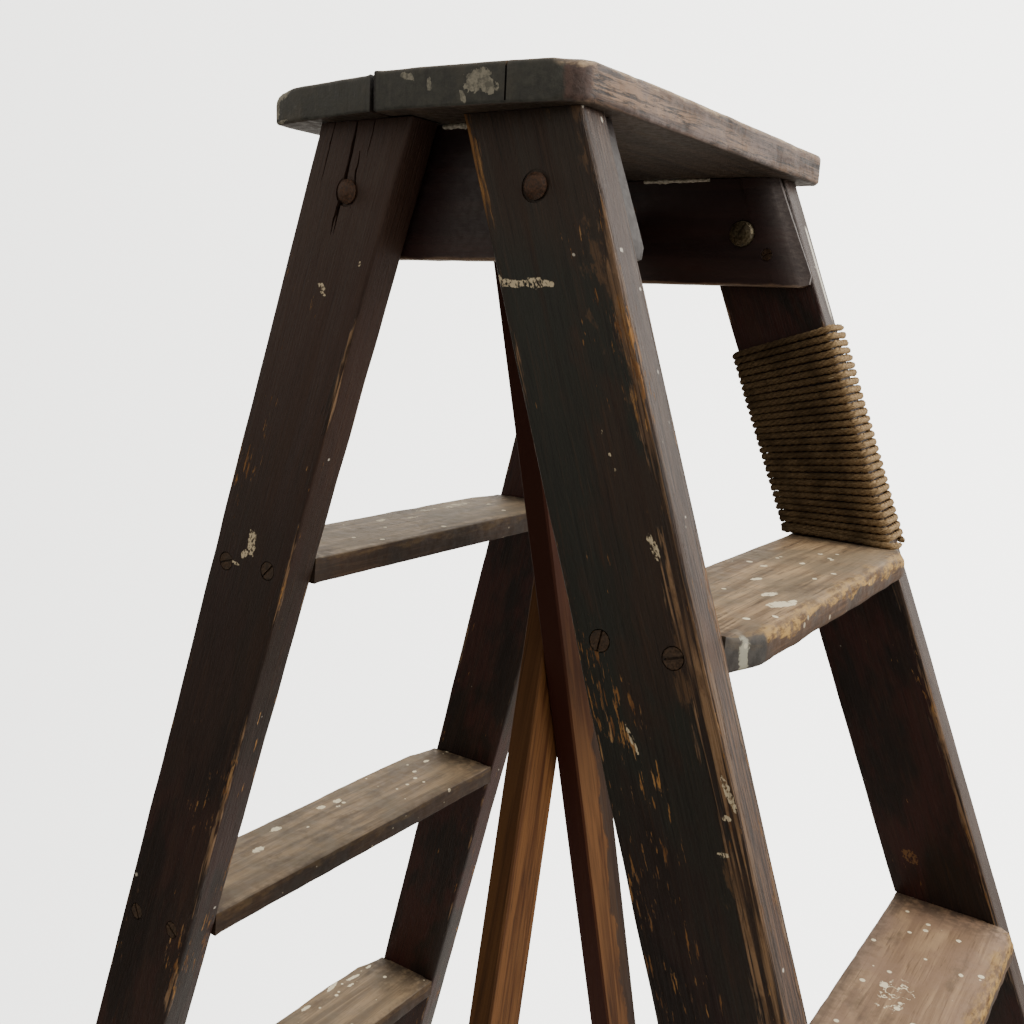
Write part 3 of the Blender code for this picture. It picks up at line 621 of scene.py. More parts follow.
def cheek_wood(name, seed, painted_end_light):
    """Dark maroon-black stain; the last argument sets the painted light on the front end faces: a painted
    highlight above 1, painted shade below 1.
    """
    m = Mat(name, 0)
    at = m.vec("ADD", m.p, (seed, seed, seed))
    z, nx = m.split(m.p)[2], m.split(m.n)[0]
    grain = m.drawn(at, 0.04, 420.0, 4.0, 0.65, 0.3)
    broad = m.drawn(at, 0.08, 70.0, 3.0, 0.6, 0.4)
    fine = m.noise(at, 260.0, 3.0)
    color = m.tone((0.021, 0.0105, 0.0115), (0.04, 0.019, 0.0175), broad, 0.35, 0.7)
    color = m.tone(color, (0.026, 0.018, 0.015), grain, 0.5, 0.8)
    rag = m.shake(m.drawn(at, 0.3, 150.0, 4.0, 0.6), 0.006)
    foot = m.fall(m.add(m.sub(z, UNDER - CHEEK_DEEP), rag), 0.0004, 0.0022)
    color = m.mix(m.mul(foot, 0.85), color, (0.2, 0.13, 0.085))
    # Painted light on the front end faces, picked by how they face: a grey painted highlight on the far cheek's
    # rounded nose, painted shade on the near cheek's end.
    end = m.ramp(nx, 0.12, 0.75) if painted_end_light > 1 else m.ramp(nx, 0.35, 0.8)
    e = painted_end_light
    color = m.mix(m.mul(end, 0.75), color, m.tone((0.02 * e, 0.015 * e, 0.014 * e),
                                                  (0.046 * e, 0.037 * e, 0.033 * e), grain, 0.35, 0.7))
    white = m.specks(at, 70.0, 0.03, 0.1, seed)
    color = m.mix(m.mul(white, 0.8), color, (0.45, 0.42, 0.36))
    normal = m.bump(m.add(m.mul(grain, 0.5), broad), 0.4, 0.0008)
    return m.finish(color, m.ramp(fine, 0.3, 0.7, 0.36, 0.54), normal)


def bare_wood(name, slope, seed, stain=False, maroon_shade=0.0):
    """Unpainted red-brown softwood, with painted shade on the faces turned towards -Y and near the top; slope
    is the bar's sideways run per metre of fall.
    """
    m = Mat(name)
    across = m.plane((0, 1, slope), 0.0)
    x, _, z = m.split(m.p)
    at = m.vec("ADD", m.xyz(x, across, z), (seed, seed, seed))
    grain = m.drawn(at, 0.02, 520.0, 3.0, 0.6, 0.2)
    bands = m.drawn(at, 0.012, 150.0, 3.0, 0.55, 0.8)
    cloud = m.drawn(at, 0.3, 26.0, 3.0)
    color = m.tone((0.066, 0.0235, 0.0072), (0.158, 0.068, 0.022), bands, 0.36, 0.66)
    color = m.tone(color, (0.02, 0.009, 0.0045), grain, 0.52, 0.8)
    color = m.tone(color, (0.13, 0.058, 0.02), cloud, 0.45, 0.7, 0.0, 0.6)
    # Painted shade: faces turned towards -Y are coloured darker and redder.
    shaded_flank = m.fall(m.split(m.n)[1], -0.8, -0.5)
    color = m.mix(m.mul(shaded_flank, 0.55 + 0.35 * maroon_shade), color,
                  (0.052 - 0.014 * maroon_shade, 0.024 - 0.017 * maroon_shade, 0.009 - 0.005 * maroon_shade))
    # Painted shade: darker maroon towards the top, under the platform.
    color = m.tone(color, (0.034, 0.0095, 0.005), z, 1.06, 1.26, 0.0, 0.9 * maroon_shade)
    if stain:
        mid = UNDER - 0.316
        local = m.plane((0, 1, slope), -slope * mid)
        rag = m.shake(m.drawn(at, 0.35, 95.0, 4.0, 0.65), 0.03)
        edge = m.ramp(m.add(local, rag), 0.0035, 0.0065)
        tall = m.ramp(z, 0.55, 0.75)
        rub = m.mul(edge, tall, 0.75)
        color = m.mix(rub, color, m.tone((0.016, 0.012, 0.011), (0.04, 0.031, 0.027), grain, 0.4, 0.7))
    return m.finish(color, 0.66, m.bump(m.add(m.mul(grain, 0.5), m.mul(bands, 0.5)), 0.3, 0.0006), 0.15)


def metal(name, dark, light, metallic, rough):
    m = Mat(name)
    n = m.noise(m.p, 900.0, 4.0, 0.65)
    c = m.noise(m.p, 225.0, 3.0, 0.6)
    color = m.tone(dark, light, n, 0.35, 0.68)
    color = m.tone(color, tuple(v * 0.55 for v in dark), c, 0.5, 0.7, 0.0, 0.7)
    return m.finish(color, m.ramp(n, 0.3, 0.7, rough - 0.1, rough + 0.15), m.bump(m.add(n, c), 0.5, 0.0004),
                    Metallic=m.ramp(c, 0.4, 0.6, metallic, metallic * 0.4))


def jute(name, dark, light):
    m = Mat(name)
    n = m.noise(m.scale(m.p, (0.3, 0.3, 1.7)), 1500.0, 4.0, 0.65)
    c = m.noise(m.p, 60.0, 3.0, 0.6)
    color = m.tone(dark, light, n, 0.3, 0.7)
    dull = tuple(0.6 * a + 0.12 * b for a, b in zip(dark, light))
    color = m.tone(color, dull, c, 0.42, 0.64, 0.0, 0.7)
    (pa, pc), _, _, _ = local_planes(FRONT, 1)
    # Painted highlight: the cord is coloured 2.6 times lighter near the stile's front edge, on the side the
    # light falls on.
    painted_lit_side = m.ramp(m.plane(pa, pc), 0.018, -0.004)
    color = m.mix(painted_lit_side, color, m.tone(tuple(2.6 * v for v in dark),
                                          tuple(min(2.6 * v, 0.8) for v in light), n, 0.3, 0.7))
    return m.finish(color, 0.88, m.bump(n, 0.9, 0.0006), 0.2)


def filler():
    m = Mat("filler")
    n = m.noise(m.p, 500.0, 3.0)
    color = m.tone((0.34, 0.31, 0.25), (0.66, 0.62, 0.52), n, 0.35, 0.7)
    return m.finish(color, 0.85, m.bump(n, 0.6, 0.0006))


# ---------------------------------------------------------------- shape kit
def piece(name, mesh, mat, body, nodes=(), sharp=35):
    """A visible piece: it rides a body and may stand in for CAD nodes."""
    ob = add_object(name, mesh)
    dress(ob, mat)
    mesh.shade_smooth()
    mesh.set_sharp_from_angle(angle=math.radians(sharp))
    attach(ob, body)
    if nodes:
        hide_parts(*nodes)


def skin(bm, rings):
    """Closed solid through a stack of equal rings."""
    rows = [[bm.verts.new(p) for p in ring] for ring in rings]
    n = len(rows[0])
    for a, b in zip(rows, rows[1:]):
        for i in range(n):
            j = (i + 1) % n
            bm.faces.new((a[i], a[j], b[j], b[i]))
    bm.faces.new(rows[0])
    bm.faces.new(rows[-1])


def solid(name, *stacks):
    """Mesh of closed solids, one for each stack of rings."""
    bm = bmesh.new()
    for rings in stacks:
        skin(bm, rings)
    bmesh.ops.recalc_face_normals(bm, faces=bm.faces)
    mesh = bpy.data.meshes.new(name)
    bm.to_mesh(mesh)
    bm.free()
    return mesh


def prism(points, low, high, put):
    """Rings of a straight solid between two levels."""
    return [[put(a, b, t) for a, b in points] for t in (low, high)]


def lathe(profile, at, way, steps):
    """Rings of a turned solid; profile runs (radius, height) from bottom to top."""
    turn = Vector(way).to_track_quat("Z", "Y").to_matrix()
    angles = [2 * math.pi * i / steps for i in range(steps)]
    return [[Vector(at) + turn @ Vector((r * math.cos(a), r * math.sin(a), h)) for a in angles]
            for r, h in profile]


def turned(name, profile, places, steps):
    """Mesh of one turned solid at each (point, axis) of places."""
    return solid(name, *(lathe(profile, at, way, steps) for at, way in places))


def carved(mesh, cutters, name):
    """Mesh after cutting each cutter mesh out of it."""
    ob = add_object("tmp_" + name, mesh)
    tools = []
    for cutter in cutters:
        tool = add_object("tool", cutter)
        mod = ob.modifiers.new("cut", "BOOLEAN")
        mod.operation, mod.solver, mod.object = "DIFFERENCE", "EXACT", tool
        tools.append(tool)
    bpy.context.view_layer.update()
    ready = ob.evaluated_get(bpy.context.evaluated_depsgraph_get())
    made = bpy.data.meshes.new_from_object(ready)
    for extra in (ob, *tools):
        bpy.data.objects.remove(extra, do_unlink=True)
    made.name = name
    return made


def dense(outline, step):
    """Outline resampled every step, each point with its outward normal."""
    n = len(outline)
    area2 = sum(outline[i][0] * outline[(i + 1) % n][1] - outline[(i + 1) % n][0] * outline[i][1]
                for i in range(n))
    turn = 1.0 if area2 > 0 else -1.0
    points = []
    for i in range(n):
        a, b = Vector(outline[i]), Vector(outline[(i + 1) % n])
        count = max(1, round((b - a).length / step))
        for k in range(count):
            points.append(a.lerp(b, k / count))
    made = []
    m = len(points)
    for i, p in enumerate(points):
        along = (points[(i + 1) % m] - points[i - 1]).normalized()
        made.append((p, Vector((along.y, -along.x)) * turn))
    return made


def slab(name, outline, thick, put, radius, step, levels, rag, seed):
    """Board with worn, rounded arrises. radius(u, v, top) gives the rounding at a point."""
    pts = dense(outline, step)
    rings = []
    for top in (False, True):
        order = range(levels + 1) if not top else range(levels, -1, -1)
        for k in order:
            ring = []
            for p, n in pts:
                r = radius(p.x, p.y, top) * (1.0 + 0.25 * wob(p.x * 40 + seed, p.y * 40, 7.0 if top else 3.0))
                other_sharp = radius(p.x, p.y, not top) < 0.0017
                r = min(r, thick * 0.84 - 0.0001 if other_sharp else thick * 0.49)
                a = math.radians(90.0 * k / levels)
                inset, rise = r * (1 - math.sin(a)), r * (1 - math.cos(a))
                t = thick - rise if top else rise
                q = p - n * (inset + rag * (0.5 + wob(p.x * 90 + seed, p.y * 90, t * 60)))
                ring.append(put(q.x, q.y, t))
            rings.append(ring)
    return solid(name, rings)


# ---------------------------------------------------------------- stiles
def screw_seats(lad, side):
    """All tread screws of a stile: (seat point, is it the second one, tread number)."""
    found = []
    for i in range(TREADS):
        depth = lad["first"] + RISE * i + lad["thick"] / 2 - 0.0012
        main, second = SCREWS_ACROSS[lad["tag"]]
        for frac, extra in ((main, False), (second, True)):
            x = edge_x(lad, depth, lad["wide"] * frac)
            found.append((world(x, depth, side * outer_y(lad, depth)), extra, i))
    return found


def stile_mesh(name, lad, side, seed):
    """Stile in thin slices, its arrises rounded and nicked and its foot drawn in."""
    wide = lad["wide"]
    d, stations = GAP, []
    while d < UNDER:
        stations.append(d)
        d += 0.007 if d < 0.75 else 0.014
    stations = [d for d in stations if d < UNDER - 0.008] + [UNDER - 0.004, UNDER - 0.002, UNDER]
    rings = []
    for d in stations:
        ring = []
        for cx, cy, start in stile_corners(wide):
            rough = wob(d * 35 + seed, cx * 50 + cy * 90, seed)
            r = 0.0017 + 0.0009 * rough + 0.0016 * max(0.0, wob(d * 11, cx * 60 + cy * 70, seed + 4))
            if d < 0.004 or d > UNDER - 0.004:
                r *= 0.7
            r = max(r, 0.0006)
            mx, my = (cx - r if cx else r), (cy - r if cy else r)
            ring += quarter_arc(mx, my, r, start)
        full = []
        n = len(ring)
        for i in range(n):
            a, b = ring[i], ring[(i + 1) % n]
            parts = 6 if abs(a[0] - b[0]) > 0.02 else (3 if abs(a[1] - b[1]) > 0.008 else 1)
            for k in range(parts):
                f = k / parts
                full.append((a[0] + (b[0] - a[0]) * f, a[1] + (b[1] - a[1]) * f))
        row = []
        for px, qy in full:
            sag = 0.00022 * wob(px * 30, qy * 40 + d * 9, seed)
            foot = 0.0016 * max(0.0, (d - UNDER + 0.004) / 0.004) ** 2 + 0.0002
            px = foot + px * (wide - 2 * foot) / wide
            qy = foot + min(max(qy + sag, 0.0), T) * (T - 2 * foot) / T
            x = edge_x(lad, d) - lad["dir"] * (wide - px)
            row.append(world(x, d, side * (inner_y(lad, d) + qy)))
        rings.append(row)
    return solid(name, rings)


def housing_ends(lad, d):
    """Local x of a housing's stopped front end, and of its back end (open in the front ladder)."""
    stopped = lad["wide"] - HOUSING_STOP - lad["lean"] * lad["thick"]
    return edge_x(lad, d, HOUSING_STOP), edge_x(lad, d, lad["wide"] + 0.03 if lad is FRONT else stopped)


def stile_cutters(lad, side):
    """Tread housings, screw countersinks and the bolt's hole and seat."""
    slots = []
    for i in range(TREADS):
        top = lad["first"] + RISE * i - GAP
        low = top + lad["thick"] + 2 * GAP
        face = [(side * (inner_y(lad, d) + q), UNDER - d) for d, q in (
            (top, -0.006), (top, HOUSING + GAP), (low, HOUSING + GAP), (low, -0.006))]
        xs = sorted(housing_ends(lad, top + GAP))
        slots.append(prism(face, xs[0] + X_SHIFT, xs[1] + X_SHIFT, lambda a, b, t: Vector((t, a, b))))
    housings = solid("housings", *slots)
    head, hole = HEAD_R + 0.0004, SHANK_R + GAP
    sinks = turned("sinks", [(hole, -0.012), (hole, -0.0045), (head, -0.001), (head + 0.0004, 0.004)],
                   [(at, out_normal(lad, side)) for at, _, _ in screw_seats(lad, side)], 20)
    px, pd = REAR_PIVOT if lad is REAR else FRONT_PIVOT
    seat = world(px, pd, side * (outer_y(lad, pd) - 0.001))
    bolt_seat = turned("bolt_seat", [(0.0043, -0.04), (0.0043, 0.0), (0.008, 0.0), (0.0084, 0.01)],
                       [(seat, (0, side, 0))], 28)
    return [housings, sinks, bolt_seat]


# Drying splits of the near rear stile: x at the top, x at the bottom, start, length, width.
REAR_SPLITS = (
    (-0.0478, -0.0618, -0.004, 0.064, 0.0042), (-0.0638, -0.0735, -0.004, 0.036, 0.0012),
    (-0.0352, -0.041, -0.004, 0.024, 0.0011), (-0.046, -0.0505, 0.016, 0.03, 0.0022),
    (-0.057, -0.064, 0.034, 0.026, 0.003),
)


def split_cutters(side):
    """Cutters for the drying splits, pinched towards the bottom of each split."""
    cuts = []
    for x0, x1, start, deep, wide in REAR_SPLITS:
        left, right = [], []
        for k in range(13):
            f = k / 12
            mid = x0 + (x1 - x0) * f + 0.0007 * wob(f * 7, x0 * 900)
            swell = 0.3 + 0.7 * math.sin(math.pi * min(f * 1.1, 1.0)) if f < 0.85 else 0.5 * (1 - f) / 0.15
            half = wide / 2 * swell * (1 + 0.45 * wob(f * 13, 3 + x0 * 500)) + 0.00012
            left.append((mid - half, start + f * deep))
            right.append((mid + half, start + f * deep))
        rim = left + right[::-1]
        n = len(rim)
        rings = []
        for t, pinch in ((0.016, 1.0), (-0.011, 0.25)):
            row = []
            for i, (a, b) in enumerate(rim):
                j = n - 1 - i
                ma = (a + rim[j][0]) / 2
                row.append(world(ma + (a - ma) * pinch, b, side * (outer_y(REAR, b) + t)))
            rings.append(row)
        cuts.append(solid("split", rings))
    return cuts


NEAR_FRONT_MARKS = (
    (58, 88.5, 7.5, 2.2, -3), (45, 88, 6.5, 2.8, 4), (37, 88.2, 2.4, 1.8, 0), (65, 87, 2.6, 3.6, 20),
    (13.2, 212.6, 2, 6, 12), (26.5, 160, 0.6, 1, 0), (25, 171, 0.7, 1.1, 0), (24, 178, 0.6, 0.9, 0),
    (45.5, 310, 1.2, 6.5, 14), (3.2, 322, 1.8, 7.5, 10), (6.5, 334, 2.2, 1.4, 30), (12, 352, 3.2, 1.2, 15),
)
NEAR_REAR_MARKS = (
    (31.7, 91, 3.6, 1.5, 30), (33.8, 95, 2.6, 0.9, 30), (29.5, 247, 3.2, 8.5, -14), (26, 255, 2.6, 3.4, 25),
    (54, 78, 0.9, 1.4, 0), (20, 262, 4.2, 1, 10),
)
FAR_FRONT_MARKS = ((46.3, 490, 5, 5.4, 20),)


def ladders():
    looks = {
        ("front", -1): dict(seed=1.3, marks=NEAR_FRONT_MARKS, worn=(1.0, 0.12), flecks=0.9, green=1.0, red=0.2,
                            top_wear=1.0, depth=1.0),
        ("front", 1): dict(seed=4.1, marks=FAR_FRONT_MARKS, worn=(0.45, 0.1), flecks=-0.9, green=0.0, red=0.9,
                           drip=True, depth=1.05),
        ("rear", -1): dict(seed=7.7, marks=NEAR_REAR_MARKS, worn=(0.06, 0.42), flecks=0.4, green=0.4, red=0.5,
                           haze=0.9),
        ("rear", 1): dict(seed=9.2, worn=(0.2, 0.1), flecks=-1.0, green=0.0, red=0.8, depth=1.1),
    }
    screw = metal("screw_iron", (0.03, 0.017, 0.009), (0.095, 0.055, 0.03), 0.4, 0.5)
    for lad in (FRONT, REAR):
        for tag, side in (("near", -1), ("far", 1)):
            look = looks[(lad["tag"], side)]
            name = f"{lad['tag']}_stile_{tag}"
            mat = stile_wood(name + "_wood", lad, side, **look)
            cuts = stile_cutters(lad, side)
            if lad is REAR and side < 0:
                cuts += split_cutters(side)
            mesh = carved(stile_mesh(name, lad, side, look["seed"]), cuts, name + "_worn")
            piece(name + "_worn", mesh, mat, lad["body"], [name])
            for at, extra, i in screw_seats(lad, side):
                node = f"{lad['tag']}_screw_{tag}_{i + 1}"
                base = frame["nodes"][node]
                dress(base, screw)
                if extra:
                    first = screw_seats(lad, side)[2 * i][0]
                    copy = base.data.copy()
                    turn = Matrix.Rotation(rnd.uniform(0.3, 2.8), 4, out_normal(lad, side))
                    copy.transform(Matrix.Translation(at) @ turn @ Matrix.Translation(-first))
                    piece(node + "_b", copy, screw, lad["body"])


# ---------------------------------------------------------------- treads
SPOTS = {
    ("front", 0): ((26, -44.7, 3.4, 6, 15), (14, -62, 4.5, 10, 25), (11.2, -50.6, 2, 4, 0),
                   (39.9, 45, 1.6, 2.6, 0), (45, -16, 2.2, 5, 20), (30, 70, 1.3, 2, 0),
                   (20, 10, 1.5, 2.2, 0), (55, 20, 1.8, 3, 10)),
    ("front", 1): ((56, 39, 2.6, 3.2, 0), (11, 160, 1.6, 2, 0), (30, 120, 1.5, 1.8, 0),
                   (31, 10, 1.8, 2.4, 0), (20, 80, 1.6, 2, 0)),
    ("rear", 0): ((19.6, 72, 5, 16, 6), (17.5, 37, 3, 10, -8), (30, 5, 2, 7, 0),
                  (22, -20, 3, 6, 12), (35, 95, 2.6, 5, 0)),
    ("rear", 1): ((31.8, -78.8, 3.2, 5.4, 0), (17.7, -48.4, 3, 5, 0), (18, 0.3, 2.6, 4, 0),
                  (20, 17.6, 2.8, 4.4, 0), (24.6, 126.8, 2, 3.4, 0), (27, 11, 1.2, 2, 0),
                  (31, 103, 1.6, 2.2, 0), (34, -30, 1, 1.6, 0)),
    ("rear", 2): ((6, 105, 2.5, 10, 15), (12, 128, 2, 8, -12), (18.3, 117, 1.6, 3, 0),
                  (10, 65, 2, 6, 0), (12, 150, 1.6, 3, 0)),
}

# On the front ladder only: a light streak on the upper tread's near nose end, a lacy splash on the next.
NOSE_STREAK_Y = -0.1262
LACE_MARK = (47.0, 34.0, 9.0, 19.0, 8)


def treads():
    for lad in (FRONT, REAR):
        for i in range(TREADS):
            top = lad["first"] + RISE * i
            out, face = lad["dir"], edge_x(lad, top)
            inside = inner_y(lad, top) - 0.0001
            long = inner_y(lad, top) + HOUSING - GAP
            back = face - out * (lad["wide"] - REAR_INSET)
            lip, nose = face + out * NOSE_LIP, face + out * NOSE
            front_end, back_end = housing_ends(lad, top)
            tongue = front_end - out * TONGUE_PLAY
            start = [(back, long), (tongue, long), (tongue, inside)]
            if lad is REAR:
                heel = back_end + out * TONGUE_PLAY
                start = [(back, inside), (heel, inside), (heel, long)] + start[1:]
            worn_end = start + [(lip, inside), (nose, inside - NOSE_RUN)]
            outline = worn_end + [(x, -y) for x, y in reversed(worn_end)]
            if lad is FRONT:
                square = start + [(lip, inside), (face + out * 0.0085, inside), (nose, inside - 0.008)]
                outline = square + [(x, -y) for x, y in reversed(worn_end)]

            def radius(u, v, is_top):
                share = min(max((u - lip) / (nose - lip), 0.0), 1.0)
                if share > 0.01:
                    uneven = 1.0 + 0.35 * wob(v * 14, i * 3.1, lad["first"] * 9)
                    return 0.0008 + ((0.0068 if is_top else 0.0046) * uneven - 0.0008) * share ** 0.7
                return 0.0003 if abs(v) > inside - 0.003 else 0.0018

            def put(u, v, t):
                z = UNDER - top - lad["thick"] + t
                y = v + math.copysign(lad["splay"] * (UNDER - top - z), v) if abs(v) > 0.03 else v
                return Vector((u + X_SHIFT, y, z))

            name = f"{lad['tag']}_tread_{i + 1}"
            mesh = slab(name, outline, lad["thick"], put, radius, 0.0055, 4, 0.0005, i * 5.0 + lad["first"])
            seed = 2.0 + i * 1.37 + (0.0 if lad is FRONT else 11.0)
            mat = tread_wood(name + "_wood", lad, i, seed, SPOTS.get((lad["tag"], i), ()),
                             1.0 if lad is FRONT else 0.12, 1.0 if lad is FRONT else 0.35,
                             NOSE_STREAK_Y if lad is FRONT and i == 0 else None,
                             LACE_MARK if lad is FRONT and i == 1 else None)
            piece(name + "_worn", mesh, mat, lad["body"], [name], 40)


# ---------------------------------------------------------------- platform and cheeks
def corner_pocket(side):
    """Hollow under the main board that a rear stile's inner top corner swings up into."""
    px, pd = REAR_PIVOT
    reach = math.hypot(edge_x(REAR, GAP, REAR["wide"]) - px, pd - GAP) + 0.0008
    start, mouth = -0.0275, 0.002
    first, last = math.asin((start - px) / reach), math.acos((pd - mouth) / reach)
    rim = [(start, mouth)]
    for step in range(7):
        turn = first + (last - first) * step / 6
        rim.append((px + reach * math.sin(turn), pd - reach * math.cos(turn)))
    low, high = inner_y(REAR, 0.0) - 0.0012, outer_y(REAR, 0.015) + 0.0012
    return solid("pocket", prism(rim, low, high, lambda a, b, t: world(a, b, side * t)))


def cheek_nose(trim):
    """What is shaved off the far cheek's inner face to leave its long rounded front end."""
    run, deep = 0.027, 0.0098
    rim = [(run, -0.003), (-0.004, -0.003)]
    for step in range(15):
        f = 1.0 - step / 14
        rim.append((run * (1 - f) - (0.004 if step == 0 else 0.0), deep * (1 - math.sqrt(max(1 - f * f, 0.0)))))
    return solid("nose", prism(rim, -0.01, CHEEK_DEEP + 0.01, lambda a, b, t: world(
        edge_x(FRONT, t, trim) - a, t, cheek_face(t) + b)))


def board_crack():
    """Thin wandering slit that closes up inward from the main board's near end."""
    run = 22
    left, right = [], []
    for k in range(run + 1):
        f = k / run
        y = -0.17 + f * 0.15
        x = 0.0528 + 0.0012 * wob(f * 9, 2.0) + 0.002 * f
        half = 0.0005 * (1 - f) ** 0.6 * (1 + 0.5 * wob(f * 21, 9.0)) + 0.00005
        left.append((x - half, y))
        right.append((x + half, y))
    return solid("crack", prism(left + right[::-1], 0.0015, 0.03,
                                lambda a, b, t: Vector((a + X_SHIFT, b, UNDER + t))))


def platform():
    front_x, joint, back_x = 0.0985, JOINT_X, -0.1105
    main = [
        (joint + 0.0006, -0.1612), (0.003, -0.1608), (0.055, -0.156), (0.081, -0.151),
        (0.09, -0.1455), (0.0938, -0.138), (0.0948, -0.12), (0.097, -0.03),
        (front_x, 0.156), (0.095, 0.1625), (joint + 0.0006, 0.1665),
    ]
    back = [
        (back_x, -0.138), (-0.108, -0.149), (-0.098, -0.152), (-0.06, -0.1575),
        (joint - 0.0012, -0.1618), (joint - 0.0012, 0.1655), (-0.0985, 0.163), (back_x, 0.15),
    ]
    blotch = (
        (-43.0, 1501.5, 8.0, 5.0, 20), (-37.0, 1498.5, 5.0, 3.6, -20), (-51.0, 1494.5, 1.4, 3.4, 25),
        (-84.0, 1505.5, 5.0, 1.8, -15), (-70.5, 1501.0, 1.3, 3.6, 5),
    )
    worn_tip = ((-181.5, 1505.8, 7.0, 3.4, 15), (-187.4, 1500.0, 2.8, 8.0, 0), (-184.0, 1491.2, 7.0, 0.9, 6))
    for name, outline, thick, seed, marks, body in (
        ("top_board_main", main, MAIN_THICK, 3.0, blotch, "front_frame"),
        ("top_board_back", back, BACK_THICK, 8.0, worn_tip, "rear_ladder"),
    ):
        def radius(u, v, is_top):
            if abs(u - joint) < 0.004:
                return 0.0013
            if u < -0.094 and v < -0.11:
                tip = min((-0.094 - u) / 0.012, 1.0)
                return 0.003 + 0.0055 * tip if is_top else 0.0022
            if v < -0.11 and u < 0.078:
                return 0.0026 if is_top else 0.002
            r = 0.0042 if is_top else 0.0026
            return r * 1.4 if u > 0.075 and v < -0.1 else r

        def put(u, v, t):
            return Vector((u + X_SHIFT, v, UNDER + t))

        mesh = slab(name, outline, thick, put, radius, 0.005, 5, 0.0006, seed)
        crack = None
        if name == "top_board_main":
            crack = CRACK_X + X_SHIFT
            mesh = carved(mesh, [corner_pocket(-1), corner_pocket(1), board_crack()], name + "_worn")
        mat = board_wood(name + "_wood", seed, marks, crack)
        piece(name + "_worn", mesh, mat, body, [name], 42)


def cheeks():
    low, nose = CHEEK_DEEP, 0.008
    for tag, side in (("near", -1), ("far", 1)):
        trim = 0.0058 if side < 0 else 0.0034
        outline = [
            (edge_x(FRONT, GAP, trim - 0.0015), GAP), (edge_x(FRONT, low - nose, trim - 0.004), low - nose),
            (edge_x(FRONT, low, trim - 0.0005), low - 0.0022), (edge_x(FRONT, low, trim + 0.005), low),
            (edge_x(REAR, low, 0.012), low), (edge_x(REAR, low, 0.0065), low - 0.0022),
            (edge_x(REAR, low - nose, 0.0035), low - nose),
        ]
        px, pd = REAR_PIVOT
        for turn in (35.6, 24.0, 12.0, 0.0):
            a = math.radians(turn)
            outline.append((px - CHEEK_ARC * math.sin(a), pd - CHEEK_ARC * math.cos(a)))
        outline.append((px + 0.004, GAP))

        def radius(u, v, is_top):
            return 0.0014 if v > 0.01 else 0.0006

        def put(u, v, t):
            return world(u, v, side * (cheek_face(v) + t))

        name = "cheek_" + tag
        mesh = slab(name, outline, CHEEK_T, put, radius, 0.005, 5, 0.0002, side * 3.0)
        inward = (0, -side, 0)
        nuts = [(world(px, pd, side * (cheek_face(pd) + 0.0012)), inward)
                for px, pd in (REAR_PIVOT, FRONT_PIVOT)]
        screw = [(world(*CHEEK_SCREW, side * cheek_face(CHEEK_SCREW[1])), inward)]
        cuts = [turned("seats", [(0.0091, 0.0), (0.0091, 0.02)], nuts, 28),
                turned("screw_seat", [(0.001, -0.004), (0.0042, -0.0006), (0.0046, 0.004)], screw, 20)]
        if side > 0:
            cuts.append(cheek_nose(trim))
        mesh = carved(mesh, cuts, name + "_worn")
        # Painted light on the front end: a painted highlight on the far cheek's nose, painted shade on the near
        # cheek's end.
        mat = cheek_wood(name + "_wood", 5.0 + side, 2.6 if side > 0 else 0.35)
        piece(name + "_worn", mesh, mat, "front_frame", [name], 42)


def filler_beads():
    mat = filler()
    for tag, side, x0, x1 in (("near", -1, -0.012, 0.02), ("far", 1, -0.01, 0.04)):
        rings = []
        for k in range(25):
            f = k / 24
            x = x0 + (x1 - x0) * f
            swell = math.sin(math.pi * min(max(f, 0.04), 0.96)) ** 0.4
            r = 0.0012 + 0.0022 * abs(wob(f * 14 + side, 4.0)) * swell
            y = inner_y(FRONT, 0.001) - GAP - (CHEEK_T if side > 0 else -0.0004)
            ring = []
            for j in range(8):
                a = 2 * math.pi * j / 8
                ring.append(world(x, 0.0012 + r * math.sin(a) * 0.9, side * y + r * math.cos(a)))
            rings.append(ring)
        piece("filler_" + tag, solid("filler_" + tag, rings), mat, "front_frame", (), 60)


# ---------------------------------------------------------------- fixings, brace, rope
def fixings():
    rust = metal("bolt_rust", (0.03, 0.014, 0.007), (0.105, 0.048, 0.024), 0.25, 0.55)
    brass = metal("nut_brass", (0.055, 0.042, 0.022), (0.15, 0.122, 0.072), 0.75, 0.42)
    screw = bpy.data.materials["screw_iron"]
    for node, ob in frame["nodes"].items():
        mat = None
        if node.startswith(("pivot_bolt", "pivot_washer")):
            mat = rust
        elif node.startswith("pivot_nut"):
            mat = brass
        elif node.startswith(("cheek_screw", "brace_screw", "brace_pivot")):
            mat = screw
        if mat:
            dress(ob, mat)


def brace():
    # The last number of each look sets how much painted shade the wood gets.
    looks = {"brace_bar_near": (-BAR_SLOPE, 2.0, False, 0.0), "brace_bar_far": (BAR_SLOPE, 6.0, True, 1.0),
             "brace_rail": (0.0, 3.0, False, 0.5), "brace_block": (0.0, 4.0, False, 0.5)}
    for node, (slope, seed, stain, maroon_shade) in looks.items():
        dress(frame["nodes"][node], bare_wood(node + "_wood", slope, seed, stain, maroon_shade))


ROPE_TURNS, ROPE_TOP, ROPE_TILT, ROPE_R = 28, 0.106, 0.288, 0.0021  # as in the CAD part
STRAND_R, STRAND_OFF, STRAND_LAY = 0.00143, 0.00102, 0.0165
ROPE_HAIRS, TAIL_HAIRS, HAIR_R, TAIL_END = 1400, 100, 0.00013, 24


